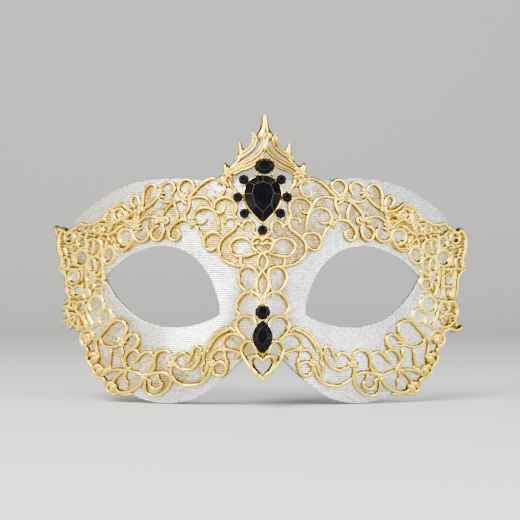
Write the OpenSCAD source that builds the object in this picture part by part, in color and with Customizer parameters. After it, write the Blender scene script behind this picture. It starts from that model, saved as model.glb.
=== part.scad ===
// Venetian half mask: a moulded shell, a cloth face, a padded-cloth lining,
// cast filigree pieces, stones in settings and two ribbon eyelets.
// Millimetres. Z is up, X is the width, the face looks along -Y.

/* [Face] */
// Width of the filigree from temple to temple, seen from the front
mask_width = 176; // [170:1:182]
// How far the nose stands out in front of the cheeks at the nose arch
nose_height = 16; // [12:0.5:18]
// Radius of the side-to-side curve of the face
face_radius = 96; // [94:1:110]

/* [Layers] */
// Thickness of the moulded shell
shell_t = 1.6; // [1.2:0.1:2.2]
// Thickness of the metallic cloth on the front
fabric_t = 0.45; // [0.3:0.05:0.6]
// Thickness of the soft lining on the back
lining_t = 0.7; // [0.5:0.1:1]
// Glue line between two layers
glue = 0.04; // [0.02:0.01:0.08]

/* [Filigree] */
// Width of a scroll wire
wire_w = 0.95; // [0.7:0.05:1.2]
// Height of a scroll wire above its flat back
wire_h = 1.0; // [0.7:0.05:1.3]
// Width of the heavy wire of the heart drop and the crest ribs
heavy_w = 1.5; // [1.2:0.1:1.8]
// How deep the castings are pressed into the cloth
bed = 0.15; // [0.1:0.05:0.25]

/* [Stones] */
// Height of the pear stone above its seat
pear_h = 4.2; // [3:0.1:5]
// Height of the small round stones above their seats
round_h = 2.1; // [1.6:0.1:2.6]
// Wall of the stone settings
cup_wall = 0.4; // [0.3:0.05:0.6]

/* [Ribbon eyelets] */
// Radius of the hole that the ribbon passes through
eyelet_bore = 2.0; // [1.6:0.1:2.3]
// Wall of the eyelet barrel
eyelet_wall = 0.45; // [0.35:0.05:0.55]

/* [Hidden] */

g = mask_width / 413;        // one square of the drawing grid
far = 900;                   // the drawing is laid on the face along lines that meet this far in front
mid_z = 12.8;                // height of the middle line of the drawing
front = shell_t + glue + fabric_t;   // outside of the cloth above the back of the shell

// ---- the face as a height over the drawing ---------------------------------
function clamp01(t) = min(1, max(0, t));
function side_curve(a) = a < 80
  ? 95 * (1 - sqrt(1 - (a / face_radius) * (a / face_radius)))
  : side_curve(79.99) + (a - 79.99) * 1.45;
function top_lean(v) = v < 10 ? 0 : v < 44 ? 0.0035 * (v - 10) * (v - 10) : 4.05 + 0.238 * (v - 44);
function low_lean(v) = v > -10 ? 0 : 0.004 * (v + 10) * (v + 10);
function nose(u, v) = nose_height * pow(clamp01((35 - v) / 62), 1.5)
  * exp(-pow(u / (9 + 3 * clamp01((20 - v) / 50)), 2));
function cheek(a, v) = 3 * exp(-pow((a - 42) / 20, 2) - pow((v + 32) / 15, 2));
function socket(a, v) = 2.5 * exp(-pow((a - 43) / 24, 2) - pow((v - 1) / 15, 2));
function depth(u, v) = 6 + side_curve(abs(u)) + top_lean(v) + low_lean(v)
  - nose(u, v) - cheek(abs(u), v) + socket(abs(u), v);
function at(u, v) = let (y = depth(u, v), k = 1 + y / far)
  [u * k, y, mid_z + (v - mid_z) * k];
function unit(a) = a / norm(a);
function out(u, v) = unit(cross(at(u + 0.2, v) - at(u - 0.2, v), at(u, v + 0.2) - at(u, v - 0.2)));
// h over the back of the shell; the drawing is true on the front of the cloth
function lift(u, v, h) = let (n = out(u, v)) at(u, v) + h * n - front * [n[0], 0, n[2]];

// stand a child on the face at a point of the drawing: its Z is the way out,
// its Y is up, h is the height over the back of the shell
module stand(gx, gy, h = 0, turn = 0) {
  u = gx * g; v = gy * g;
  n = out(u, v);
  p = lift(u, v, h);
  x = unit(cross([0, -0.0001, 1], n));
  y = cross(n, x);
  multmatrix([[x[0], y[0], n[0], p[0]], [x[1], y[1], n[1], p[1]], [x[2], y[2], n[2], p[2]], [0, 0, 0, 1]])
    rotate([0, 0, turn]) children();
}
module pair() { children(); mirror([1, 0, 0]) children(); }

// ---- outline of the right half, on the drawing grid ------------------------
edge = [[0, 110], [20, 110], [40, 109.5], [62, 109.5], [85, 111], [104, 110.5], [117, 109],
  [129, 106.5], [142, 101.5], [154, 95.5], [167.5, 86.5], [180, 76], [187, 68], [190.5, 59], [191.5, 48], [191.5, 35],
  [191.5, 22], [190.5, 8], [190.5, -2], [189.5, -12], [186, -24], [181, -37], [175.5, -50], [168.5, -64],
  [160.5, -77], [150.5, -89], [140.5, -98], [130, -104], [118, -109], [107, -111.5], [93, -112.5], [77.5, -110.5],
  [63, -105.5], [54, -99.5], [42.5, -90], [34.5, -82], [27.5, -74.5], [21.5, -68.5], [16, -65], [10, -63.5], [0, -62.5],
  [0, -44], [0, -24], [0, 0], [0, 28], [0, 56], [0, 84]];
eye = [[158.5, 12], [152, 19.5], [146, 25], [134.5, 34], [120, 40.5], [104, 44.5], [89, 43], [75.5, 38], [63.5, 28.5],
  [53.5, 15], [47, 0], [43, -15], [42.5, -25], [53.5, -30.5], [68.5, -35.5], [83, -37.5], [98, -37], [111, -34],
  [122, -29.5], [136.5, -18.5], [148, -5.5], [155, 6]];
hub = [101, 4];              // the middle of the eye opening

// where the line from the hub to p crosses the eye opening
function cr(a, b) = a[0] * b[1] - a[1] * b[0];
function hit(p, a, b) = let (d = p - hub, e = b - a, q = cr(d, e))
  abs(q) < 1e-6 ? -1 : let (s = cr(a - hub, e) / q, t = cr(a - hub, d) / q)
  (s > 0 && t >= -1e-6 && t <= 1.000001) ? s : -1;
function eye_point(p) = hub + (p - hub)
  * max([for (k = [0:len(eye) - 1]) hit(p, eye[k], eye[(k + 1) % len(eye)])]);

N = len(edge);
M = 3;
inner = [for (p = edge) eye_point(p)];
function blend(i, j) = inner[i] + (edge[i] - inner[i]) * [0, 0.3, 0.64, 1][j];
flat_grid = [for (i = [0:N - 1]) for (j = [0:M]) blend(i, j) * g];

// one layer between heights lo and hi over the back of the shell, both halves
module layer(lo, hi) {
  n1 = N * (M + 1);
  pts = concat(
    [for (q = flat_grid) lift(q[0], q[1], hi)], [for (q = flat_grid) lift(q[0], q[1], lo)],
    [for (q = flat_grid) let (r = lift(q[0], q[1], hi)) [-r[0], r[1], r[2]]],
    [for (q = flat_grid) let (r = lift(q[0], q[1], lo)) [-r[0], r[1], r[2]]]);
  function seam(i) = edge[i % N][0] == 0;
  // s 0 right, 1 left; b 0 outside, 1 inside
  function id(s, b, i, j) = (seam(i) && j == M ? 0 : s) * 2 * n1 + b * n1 + (i % N) * (M + 1) + j;
  faces = concat(
    [for (i = [0:N - 1]) for (j = [0:M - 1]) [id(0, 0, i, j), id(0, 0, i, j + 1), id(0, 0, i + 1, j + 1)]],
    [for (i = [0:N - 1]) for (j = [0:M - 1]) [id(0, 0, i, j), id(0, 0, i + 1, j + 1), id(0, 0, i + 1, j)]],
    [for (i = [0:N - 1]) for (j = [0:M - 1]) [id(0, 1, i, j), id(0, 1, i + 1, j + 1), id(0, 1, i, j + 1)]],
    [for (i = [0:N - 1]) for (j = [0:M - 1]) [id(0, 1, i, j), id(0, 1, i + 1, j), id(0, 1, i + 1, j + 1)]],
    [for (i = [0:N - 1]) for (j = [0:M - 1]) [id(1, 0, i, j), id(1, 0, i + 1, j + 1), id(1, 0, i, j + 1)]],
    [for (i = [0:N - 1]) for (j = [0:M - 1]) [id(1, 0, i, j), id(1, 0, i + 1, j), id(1, 0, i + 1, j + 1)]],
    [for (i = [0:N - 1]) for (j = [0:M - 1]) [id(1, 1, i, j), id(1, 1, i, j + 1), id(1, 1, i + 1, j + 1)]],
    [for (i = [0:N - 1]) for (j = [0:M - 1]) [id(1, 1, i, j), id(1, 1, i + 1, j + 1), id(1, 1, i + 1, j)]],
    // walls of the eye opening
    [for (i = [0:N - 1]) [id(0, 0, i, 0), id(0, 0, i + 1, 0), id(0, 1, i + 1, 0)]],
    [for (i = [0:N - 1]) [id(0, 0, i, 0), id(0, 1, i + 1, 0), id(0, 1, i, 0)]],
    [for (i = [0:N - 1]) [id(1, 0, i, 0), id(1, 1, i + 1, 0), id(1, 0, i + 1, 0)]],
    [for (i = [0:N - 1]) [id(1, 0, i, 0), id(1, 1, i, 0), id(1, 1, i + 1, 0)]],
    // walls of the outer edge, none on the centre line
    [for (i = [0:N - 1]) if (!(seam(i) && seam(i + 1))) [id(0, 0, i, M), id(0, 1, i, M), id(0, 1, i + 1, M)]],
    [for (i = [0:N - 1]) if (!(seam(i) && seam(i + 1))) [id(0, 0, i, M), id(0, 1, i + 1, M), id(0, 0, i + 1, M)]],
    [for (i = [0:N - 1]) if (!(seam(i) && seam(i + 1))) [id(1, 0, i, M), id(1, 1, i + 1, M), id(1, 1, i, M)]],
    [for (i = [0:N - 1]) if (!(seam(i) && seam(i + 1))) [id(1, 0, i, M), id(1, 0, i + 1, M), id(1, 1, i + 1, M)]]);
  polyhedron(pts, faces, convexity = 10);
}

// ---- ribbon eyelets ---------------------------------------------------------
eye_x = 185.5; eye_y = -13;
barrel_r = eyelet_bore + eyelet_wall;
module eyelet_holes() pair() stand(eye_x, eye_y, -6) cylinder(h = 14, r = barrel_r + 0.15, $fn = 48);

// ---- scroll wires -----------------------------------------------------------
// a wire of flat-backed ridge section along points of the drawing
module wire(path, closed = false, w = wire_w, h = wire_h, base = front - bed) {
  n = len(path);
  q = [for (p = path) p * g];
  function nx(k) = closed ? (k + 1) % n : min(n - 1, k + 1);
  function pv(k) = closed ? (k + n - 1) % n : max(0, k - 1);
  ring = [for (k = [0:n - 1]) let (u = q[k][0], v = q[k][1], nn = out(u, v),
      t = unit(lift(q[nx(k)][0], q[nx(k)][1], 0) - lift(q[pv(k)][0], q[pv(k)][1], 0)),
      s = unit(cross(t, nn)), p = lift(u, v, base))
    [p - s * w / 2, p + s * w / 2, p + nn * h]];
  pts = [for (r = ring) each r];
  sides = [for (k = [0:(closed ? n - 1 : n - 2)]) for (m = [0:2])
    let (a = k * 3 + m, b = k * 3 + (m + 1) % 3, c = nx(k) * 3 + (m + 1) % 3, d = nx(k) * 3 + m) each [[a, b, c], [a, c, d]]];
  caps = closed ? [] : [[2, 1, 0], [(n - 1) * 3, (n - 1) * 3 + 1, (n - 1) * 3 + 2]];
  polyhedron(pts, concat(sides, caps), convexity = 10);
}
// every other point of a path is left out where the path is nearly straight
function bend(p, k) = let (a = p[k] - p[k - 1], b = p[k + 1] - p[k]) acos(min(1, a * b / (norm(a) * norm(b))));
function lean(p) = [for (k = [0:len(p) - 1]) if (k == 0 || k == len(p) - 1 || k % 2 == 0 || bend(p, k) > 28) p[k]];
module wires(list, up = 0) for (p = list) wire(lean(p), false, wire_w, wire_h, front - bed + up);
module loop(cx, cy, rx, ry, n = 9) wire([for (k = [0:n - 1]) [cx + rx * cos(k * 360 / n), cy + ry * sin(k * 360 / n)]], true);
module loops(list) for (r = list) loop(r[0], r[1], r[2], r[3], r[2] + r[3] > 13 ? 9 : 7);
// a claw knot: two pointed leaves that cover a joint of the wires
module claw(gx, gy, turn, len = 2.6) for (a = [-34, 34]) hull() {
  stand(gx, gy, front - bed) cylinder(h = wire_h + 0.35, r1 = 0.75, r2 = 0.45, $fn = 5);
  stand(gx + len / g * cos(turn + a), gy + len / g * sin(turn + a), front - bed) cylinder(h = 0.5, r1 = 0.28, r2 = 0.15, $fn = 3);
}
module bead(gx, gy, r = 0.8) hull() stand(gx, gy, front - bed) cylinder(h = wire_h + 0.2, r1 = r, r2 = r * 0.55, $fn = 5);

// ---- centre scrolls, right half ----------------------------------------------
medallion_lines = [
  [[28.5, 74], [26.5, 80], [27, 86.5], [31.5, 91], [37.5, 92.5], [43.5, 90.5], [48, 86], [48.5, 81.5], [46, 78], [42, 77], [39, 79.5], [37.5, 83.5]],
  [[38, 67.5], [35, 71.5], [31, 72.5], [27, 70.5], [26, 66], [28, 61], [33.5, 56.5], [38.5, 52.5], [42.5, 47], [43.5, 41], [42.5, 35], [39, 30.5], [32.5, 26.5], [23.5, 24]],
  [[9, 58], [8.5, 64], [11, 68], [15, 69.5], [18.5, 67], [20, 62]],
  [[27, 100], [31, 104], [33, 109], [37.5, 112]],
  [[20, 62], [23, 65.5], [26, 66]],
  [[30, 90], [27.5, 95], [27, 100]],
  [[28.5, 74], [25.5, 72], [23, 68]]];
nose_lines = [
  [[10, 45], [12.5, 48.5], [17, 51.5], [22.5, 52], [28.5, 50], [32.5, 44.5], [31.5, 39], [27, 34.5], [21.5, 33.5], [14.5, 34.5], [7.5, 36.5]],
  [[0, 49.5], [2.5, 52], [6, 52.5], [10, 49.5], [10.5, 45], [7.5, 40], [0.5, 36]],
  [[0.5, 37.5], [3.5, 33], [5, 28], [3.5, 23], [0.5, 19]],
  [[10.5, -1], [7.5, 3], [6, 9], [5.5, 14.5], [6.5, 19.5], [10, 22.5], [15, 23.5], [20, 21.5], [23.5, 16], [23.5, 9], [21, 3.5], [16.5, -1]],
  [[0.5, 19], [4.5, 12], [6, 6], [5, 0], [0.5, -7]],
  [[1.5, -13], [2, -8.5], [5, -4.5], [11, -2], [17, -3], [22, -7.5], [25.5, -13.5], [26, -19], [23, -24]],
  [[6, -38], [6.5, -32], [9.5, -28], [14, -26], [19.5, -26.5], [24.5, -30.5], [26, -36], [23, -42.5], [17.5, -49]],
  [[5.5, -62], [7, -57], [10.5, -52.5], [15, -51], [19, -54.5], [20.5, -60], [19, -66], [15, -72.5], [10.5, -79.5], [5.5, -85.5], [0.5, -89]],
  [[9, 58], [5, 55], [0.5, 52.5]],
  [[10, 45], [5, 47], [0.5, 46]],
  [[21, 33.5], [22, 28], [20, 21.5]],
  [[23, -24], [25, -27.5], [24.5, -30.5]],
  [[8, -52], [13, -50.5], [17.5, -49]]];
heart_line = [[0.5, -71.5], [3, -67.5], [7, -65.5], [10.5, -68], [11.5, -73], [9, -79], [5, -83.5], [0.5, -87]];

// ---- brow scrolls, right half --------------------------------------------------
brow_lines = [
  [[43.5, 109.5], [46.5, 111], [51, 111], [56.5, 108.5], [62.5, 104], [67.5, 98.5], [73, 92], [72.5, 87], [73.5, 82], [75.5, 78], [77.5, 74.5]],
  [[40.5, 109], [38, 104], [38.5, 98.5], [41.5, 94.5], [45.5, 93], [48.5, 95.5], [48.5, 98.5]],
  [[50, 83], [52, 87.5], [56, 91.5], [61.5, 93], [67.5, 92.5], [72.5, 90.5]],
  [[43.5, 61], [44, 68], [46.5, 76], [51, 80.5], [57.5, 82], [63.5, 80.5], [67.5, 76.5], [69, 71.5], [70, 67], [72, 62.5]],
  [[56, 70.5], [58, 68], [61.5, 66.5], [65, 67.5], [67.5, 68]],
  [[67.5, 65], [63.5, 60], [61, 54.5], [59, 49]],
  [[40, 52.5], [43.5, 56], [48.5, 57.5], [54, 56], [58, 51.5], [58.5, 46], [55.5, 41], [51, 40], [46.5, 42.5]],
  [[78.5, 94], [73.5, 97], [69.5, 101], [69, 105.5], [72, 109], [77, 110], [81.5, 107], [83.5, 102.5], [82.5, 98], [78.5, 95.5]],
  [[80.5, 90.5], [85.5, 89], [90.5, 86], [95.5, 81], [99, 76], [101.5, 70.5]],
  [[90, 95.5], [87.5, 100], [88, 104.5], [91.5, 107.5], [96, 107], [100, 104], [102, 100]],
  [[81.5, 93], [86.5, 90.5], [92.5, 88], [97.5, 88], [101.5, 89.5], [104, 93]],
  [[104.5, 99], [106.5, 103.5], [110.5, 105.5], [115, 103], [118, 98.5], [119, 93], [119, 87], [119.5, 82]],
  [[104.5, 93], [108.5, 88], [113.5, 83.5], [119.5, 80.5]],
  [[104, 69], [106, 72], [110.5, 73.5], [115.5, 73], [120, 70.5], [123.5, 66.5], [126, 63]],
  [[123.5, 72.5], [122.5, 79], [122, 86], [123.5, 91.5], [126.5, 94], [130, 91.5], [130.5, 86.5], [127.5, 83]],
  [[72.5, 67.5], [75.5, 69.5], [80.5, 70], [85.5, 68], [90, 63.5], [93, 58.5], [93, 54], [90, 50], [86, 50], [82.5, 53.5], [82.5, 57.5], [85.5, 60]],
  [[100.5, 67], [98.5, 62], [99, 56], [102, 51], [106, 49.5], [110, 52.5], [111, 57.5], [108.5, 62], [104.5, 64]],
  [[101, 70.5], [97.5, 72.5], [94.5, 71], [94.5, 68], [97, 66.5], [100.5, 67.5]],
  [[88, 87], [86, 81.5], [84.5, 75], [85, 71], [87.5, 69]],
  [[77.5, 74.5], [77, 72], [76, 69.5]], [[123.5, 72.5], [125, 68], [126, 63]], [[129.5, 60], [128, 62.5], [126.5, 64]],
  [[67.5, 65], [70.5, 66.5]], [[104, 93], [103.5, 96], [104.5, 99]], [[102, 100], [103.5, 96]], [[40.5, 109], [43.5, 109.5]], [[78.5, 91], [82, 93]], [[118.5, 79.5], [120.5, 82]],
  [[139.5, 73], [136.5, 72]],
  [[116, 63], [113.5, 58.5], [113.5, 53.5], [116.5, 49.5], [121, 48.5], [126, 50.5], [129, 55], [129.5, 60]],
  [[126.5, 64], [131.5, 65.5], [136.5, 69], [139.5, 73]],
  [[129.5, 55.5], [130, 49], [133.5, 43], [139, 39.5], [144.5, 40.5], [147.5, 45]],
  [[119.5, 79.5], [125.5, 78], [131.5, 79.5], [136.5, 83], [140.5, 86], [145.5, 84.5], [150.5, 80.5], [155, 76.5]],
  [[136.5, 72], [137.5, 77.5], [141, 81], [145.5, 80], [148, 76], [146.5, 71.5], [142.5, 70]]];

// ---- temple scrolls, right half ------------------------------------------------
temple_lines = [
  [[155, 76.5], [159.5, 71.5], [165.5, 68.5], [173.5, 65], [178.5, 67], [183.5, 66.5], [187.5, 62.5]],
  [[189.5, 62.5], [194.5, 59], [198.5, 61], [202.5, 57], [205, 50], [205, 42], [202, 34], [202, 30], [205, 22], [199, 15.5], [197, 7], [195.5, -1], [193, -5.5]],
  [[174.5, 27], [179, 23], [185, 22], [191, 24], [195, 28.5]],
  [[174.5, 27], [176.5, 13], [175.5, 3], [171.5, -6]],
  [[184.5, 22.5], [184, 10], [183.5, 2], [181, -3]],
  [[190.5, 24], [189.5, 10], [189.5, 0]],
  [[189.5, -40], [194.5, -41], [199.5, -36.5], [195, -33]],
  [[171.5, -6], [168, -6.5], [165.5, 0.5]], [[171, 5.5], [175.5, 3]], [[152.5, 43.5], [153, 48]], [[168.5, -37], [168.5, -41]],
  [[170.5, -34], [174, -35]], [[170, 60], [176, 58]], [[186, 57.5], [191, 55]], [[176, 48], [179, 53]], [[158, 51], [164, 46]],
  [[170.5, -10], [173.5, -16], [174.5, -24], [173, -31], [168.5, -37]]];
temple_loops = [[146.5, 64, 6, 5.5], [157.5, 66, 5.5, 5], [153.5, 53, 7, 5.5], [167.5, 60, 5.5, 5.5],
  [181, 57.5, 7, 6], [194, 52.5, 5.5, 7], [171, 43, 8.5, 9], [189, 41, 7, 6.5],
  [181, 31.5, 6.5, 7.5], [194.5, 30.5, 6, 7], [152.5, 34.5, 6, 9.5], [168, 24, 6, 9.5],
  [138, 54, 7, 8.5], [165.5, 5.5, 5.5, 5], [166, -15, 7.5, 8.5], [157, -25.5, 6.5, 7.5],
  [191, -30, 5.5, 5.5], [179, -35, 7, 6.5]];

// ---- cheek scrolls, right half -------------------------------------------------
cheek_lines = [
  [[27.5, -40.5], [31.5, -38], [37.5, -38], [44.5, -41.5], [50.5, -47.5], [54.5, -54], [57.5, -61], [59, -68], [58.5, -73]],
  [[31.5, -38.5], [39.5, -42], [46, -46.5], [51, -53], [55, -61]],
  [[23, -45.5], [27.5, -43.5], [32.5, -44], [37, -47.5], [39, -53], [39.5, -59]],
  [[21.5, -63], [26.5, -61], [32.5, -59.5], [38.5, -60], [44.5, -59.5], [49, -63], [51, -68.5], [51, -74]],

  [[51, -76], [52.5, -82], [56, -88.5], [61.5, -93], [68.5, -95], [76.5, -95], [83.5, -92], [89, -88], [91.5, -82], [90.5, -76]],
  [[73.5, -68.5], [70.5, -65], [69, -59.5], [66, -56], [62.5, -57.5], [62, -63], [63.5, -69.5], [66.5, -74.5], [71.5, -78.5], [77.5, -79.5], [83.5, -77.5], [88, -74.5]],
  [[73.5, -70], [75, -65.5], [79, -62.5], [84, -64.5], [88, -68.5], [90.5, -73.5]],
  [[58.5, -71], [60.5, -76], [60.5, -81], [58.5, -85], [57.5, -90]],
  [[89.5, -68], [90.5, -73.5]],
  [[89.5, -68], [92, -63], [96.5, -60], [102, -60.5], [106, -64.5], [107.5, -70.5], [107.5, -76], [110.5, -80.5], [114.5, -84]],
  [[108, -67], [110.5, -63], [115.5, -61.5], [120.5, -64.5], [124.5, -69], [128.5, -72.5]],
  [[116.5, -86], [111.5, -83.5], [105.5, -82], [98.5, -82.5], [93.5, -84.5], [91, -89], [93, -95.5], [97.5, -101], [103.5, -104.5], [110.5, -105], [115.5, -102], [117, -96], [117, -90]],
  [[105.5, -82], [102.5, -90.5], [100, -94], [102.5, -97.5], [107.5, -98.5], [112, -95.5], [112, -90.5]],
  [[108.5, -68], [109.5, -73], [113, -79], [116.5, -84]],
  [[118.5, -86], [122.5, -83.5], [128.5, -81], [135.5, -79.5], [141.5, -82.5], [146.5, -88], [149, -93], [146.5, -98.5], [141, -101.5], [134.5, -101.5], [127.5, -98.5], [122, -94], [118.5, -89]],
  [[124, -68], [123.5, -62.5], [127, -59.5], [132, -60.5], [136, -65.5], [137, -71.5], [134.5, -77], [131.5, -80]],
  [[140, -56], [139, -62.5], [139.5, -68], [137.5, -74], [136.5, -79.5]],
  [[150.5, -58], [151, -66], [152, -73], [155, -79.5], [158.5, -83]],
  [[136.5, -79.5], [143.5, -79], [150.5, -80], [156.5, -83.5]],
  [[142, -51.5], [138, -47], [135.5, -40.5], [136, -34.5], [139.5, -31], [145, -30], [150, -32.5], [154, -37], [158, -41.5], [161.5, -46.5], [160.5, -51.5], [155.5, -55.5], [149, -56.5], [142.5, -55]],
  [[140.5, -53], [136, -49], [133, -45.5], [128.5, -44], [124.5, -46], [123.5, -51], [125, -55.5], [129, -57.5], [133.5, -56]],
  [[180.5, -44], [181, -49], [178.5, -55], [174, -59.5], [175, -65], [173.5, -71], [169.5, -76.5], [168, -81.5], [163, -86], [157, -89.5], [156.5, -95.5], [153, -101], [147, -103.5], [142, -102], [136.5, -104], [130.5, -103.5]],
  [[161.5, -46], [165.5, -51], [165, -59], [163.5, -66]]];
cheek_loops = [[43, -78.5, 7, 7], [175, -48.5, 5.5, 6], [168.5, -67, 6, 6.5], [163.5, -79, 5.5, 6], [150.5, -96.5, 6, 6.5]];

// ---- crest: a pierced plate with spikes, bent to the brow ------------------------
crest_x = 2.2;
// each station: distance from the crest's middle, top, bottom
crest_rows = [[0, 173.2, 130.5], [3.1, 173, 130], [4, 165, 129.5], [5.3, 160, 129], [8.3, 155.5, 127], [11.8, 157, 123.5], [12.8, 153, 122.7],
  [13.3, 149, 122.3], [15.3, 144, 121.4], [19.3, 139.7, 119.7], [24.8, 147.2, 118], [26.3, 141, 117.5], [27.3, 134, 117.2], [29.3, 129, 116.5], [32.3, 125.5, 115.2],
  [35.8, 123.7, 113.5], [39, 126.7, 112.7], [40.5, 122, 112.5], [41.5, 115.5, 112.5]];
module crest_plate(h0, h1) {
  rows = concat([for (k = [len(crest_rows) - 1:-1:1]) [-crest_rows[k][0], crest_rows[k][1], crest_rows[k][2]]], crest_rows);
  n = len(rows);
  pts = [for (r = rows) for (q = [[r[1], h1], [r[2], h1], [r[2], h0], [r[1], h0]]) lift((r[0] + crest_x) * g, q[0] * g, q[1])];
  sides = [for (k = [0:n - 2]) for (m = [0:3])
    let (a = k * 4 + m, b = k * 4 + (m + 1) % 4, c = (k + 1) * 4 + (m + 1) % 4, d = (k + 1) * 4 + m) each [[a, c, b], [a, d, c]]];
  polyhedron(pts, concat(sides, [[0, 1, 2], [0, 2, 3], [(n - 1) * 4, (n - 1) * 4 + 2, (n - 1) * 4 + 1], [(n - 1) * 4, (n - 1) * 4 + 3, (n - 1) * 4 + 2]]), convexity = 10);
}
crest_slits = [[[4.8, 148.5], [6.5, 143], [11.5, 136.5], [19.8, 130.5]], [[6.8, 131.5], [16.8, 125.2]]];
crest_ribs = [[[2, 168], [4, 151], [15, 135], [36, 121]],
  [[1.5, 145], [11, 131], [32, 118]]];
module crest_slit(p, s) for (k = [0:len(p) - 2]) hull() {
  stand(crest_x + s * p[k][0], p[k][1], front - 1) cylinder(h = 4, r = 0.36, $fn = 4);
  stand(crest_x + s * p[k + 1][0], p[k + 1][1], front - 1) cylinder(h = 4, r = 0.36, $fn = 4);
}

// ---- stones -----------------------------------------------------------------------
pear_mid = [0.3, 92];
pear_shape = [[0, -24.8], [-4, -20.5], [-8.5, -13.5], [-13, -7], [-17, -0.5], [-18.8, 5], [-17.8, 11], [-14.5, 16.5], [-8.8, 20.8], [0, 22.5],
  [8.8, 20.8], [14.5, 16.5], [17.8, 11], [18.8, 5], [17, -0.5], [13, -7], [8.5, -13.5], [4, -20.5]];
marquise_mid = [0, -46.8];
marquise_shape = [[0, 17.2], [4.2, 13], [7.6, 7.5], [9.4, 2], [9.4, -2], [7.6, -7.5], [4.2, -13], [0, -17.2], [-4.2, -13], [-7.6, -7.5], [-9.4, -2], [-9.4, 2], [-7.6, 7.5], [-4.2, 13]];
// a stone: girdle, crown and table of one outline, all in the outline's own grid
module cut_stone(shape, h, table = 0.52) hull() {
  linear_extrude(h * 0.3) scale(g) polygon(shape);
  translate([0, 0, h * 0.3]) linear_extrude(h * 0.4) scale(g * 0.82) polygon(shape);
  translate([0, 0, h * 0.7]) linear_extrude(h * 0.3) scale(g * table) polygon(shape);
}
module round_stone(r, h) hull() {
  cylinder(h = h * 0.35, r = r, $fn = 16);
  translate([0, 0, h * 0.4]) cylinder(h = h * 0.6, r = r * 0.58, $fn = 8);
}
module round_cup(r, h) difference() {
  cylinder(h = h, r = r + cup_wall, $fn = 48);
  translate([0, 0, 0.5]) cylinder(h = h, r = r + 0.03, $fn = 48);
}
seat = front + 0.45;          // underside of the stone settings on the plate
module shape_cup(shape, h, floor_t) difference() {
  linear_extrude(h) scale(g * 1.075) polygon(shape);
  translate([0, 0, floor_t]) linear_extrude(h) scale(g * 1.012) polygon(shape);
}
halo_r = 4.4;
halo = [[18.8, 110.2], [24.6, 92.8], [18.1, 76.6]];
plate_h = 0.8;
// the cups of the halo stand on short posts of the plate
module halo_place(p) stand(p[0], p[1], front - bed + plate_h + 0.4) children();
module halo_stone(p) halo_place(p) translate([0, 0, 0.52]) round_stone(halo_r * g, round_h);

// ==== nodes =========================================================================
module shell_core() color("gainsboro") difference() { layer(0, shell_t); eyelet_holes(); }
module face_fabric() color("silver") difference() { layer(shell_t + glue, front); eyelet_holes(); }
module back_lining() color("dimgray") difference() { layer(-glue - lining_t, -glue); eyelet_holes(); }

module crest() color("goldenrod") {
  difference() {
    union() {
      crest_plate(front + 0.75, front + 2.2);
      for (s = [-1, 1]) for (p = crest_ribs)
        wire([for (q = p) [crest_x + s * q[0], q[1]]], false, heavy_w, 1.1, front + 2.1);
    }
    for (s = [-1, 1]) for (p = crest_slits) crest_slit(p, s);
    // the stones that stand on the lower edge keep their places
    stand(2, 123.5, front + 2.75) scale([1, 0.81, 1]) cylinder(h = 8, r = 10.9 * g, $fn = 24);
    pair() stand(18.8, 110.2, front) cylinder(h = 8, r = 5.6 * g, $fn = 16);
    stand(0.3, 92, front) linear_extrude(8) scale(g * 1.12) polygon(pear_shape);
  }
}
module medallion_filigree() color("gold") pair() {
  wires(medallion_lines);
  claw(37.5, 112, 200); bead(36, 115, 1.1);
  bead(28.5, 74); bead(38, 67.5, 0.7); bead(23.5, 24, 0.7); bead(37.5, 83.5, 0.7); bead(27, 98, 0.7);
}
module nose_filigree() color("gold") {
  pair() {
    wires(nose_lines);
    wire(heart_line, false, heavy_w, 1.3);
    bead(10, 45, 0.7); bead(17, -1, 0.8); bead(17.5, -49.5, 0.9); bead(23, -25, 0.9); bead(20.5, 21.5, 0.7);
  }
  bead(0, 36.5, 0.8); bead(0, 19, 0.8); bead(0, -8, 0.9); bead(0, -70, 1.0); bead(0, -88, 1.0); bead(0, 50.5, 0.8);
}
module brow_filigree(s) mirror([s, 0, 0]) {
  wires(brow_lines);
  claw(79.5, 91, 160); claw(103.5, 96, 190); claw(102.5, 69, 100); claw(70.5, 65, 100); claw(126.5, 62, 120);
}
module brow_filigree_right() color("goldenrod") brow_filigree(0);
module brow_filigree_left() color("goldenrod") brow_filigree(1);
module temple_filigree(s) mirror([s, 0, 0]) {
  wires(temple_lines);
  loops(temple_loops);
  claw(147.5, 51, 180); claw(168.5, -41, 250); claw(175, 27.5, 200); claw(155, 76, 130);
}
module temple_filigree_right() color("gold") temple_filigree(0);
module temple_filigree_left() color("gold") temple_filigree(1);
module cheek_filigree(s) mirror([s, 0, 0]) {
  wires(cheek_lines, 0.2);
  loops(cheek_loops);
  claw(37.5, -60.5, 90); claw(51, -74.5, 120); claw(90.5, -75, 90); claw(116.5, -87, 40); claw(141.5, -52, 160); claw(154.5, -81, 60);
}
module cheek_filigree_right() color("goldenrod") cheek_filigree(0);
module cheek_filigree_left() color("goldenrod") cheek_filigree(1);

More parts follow.
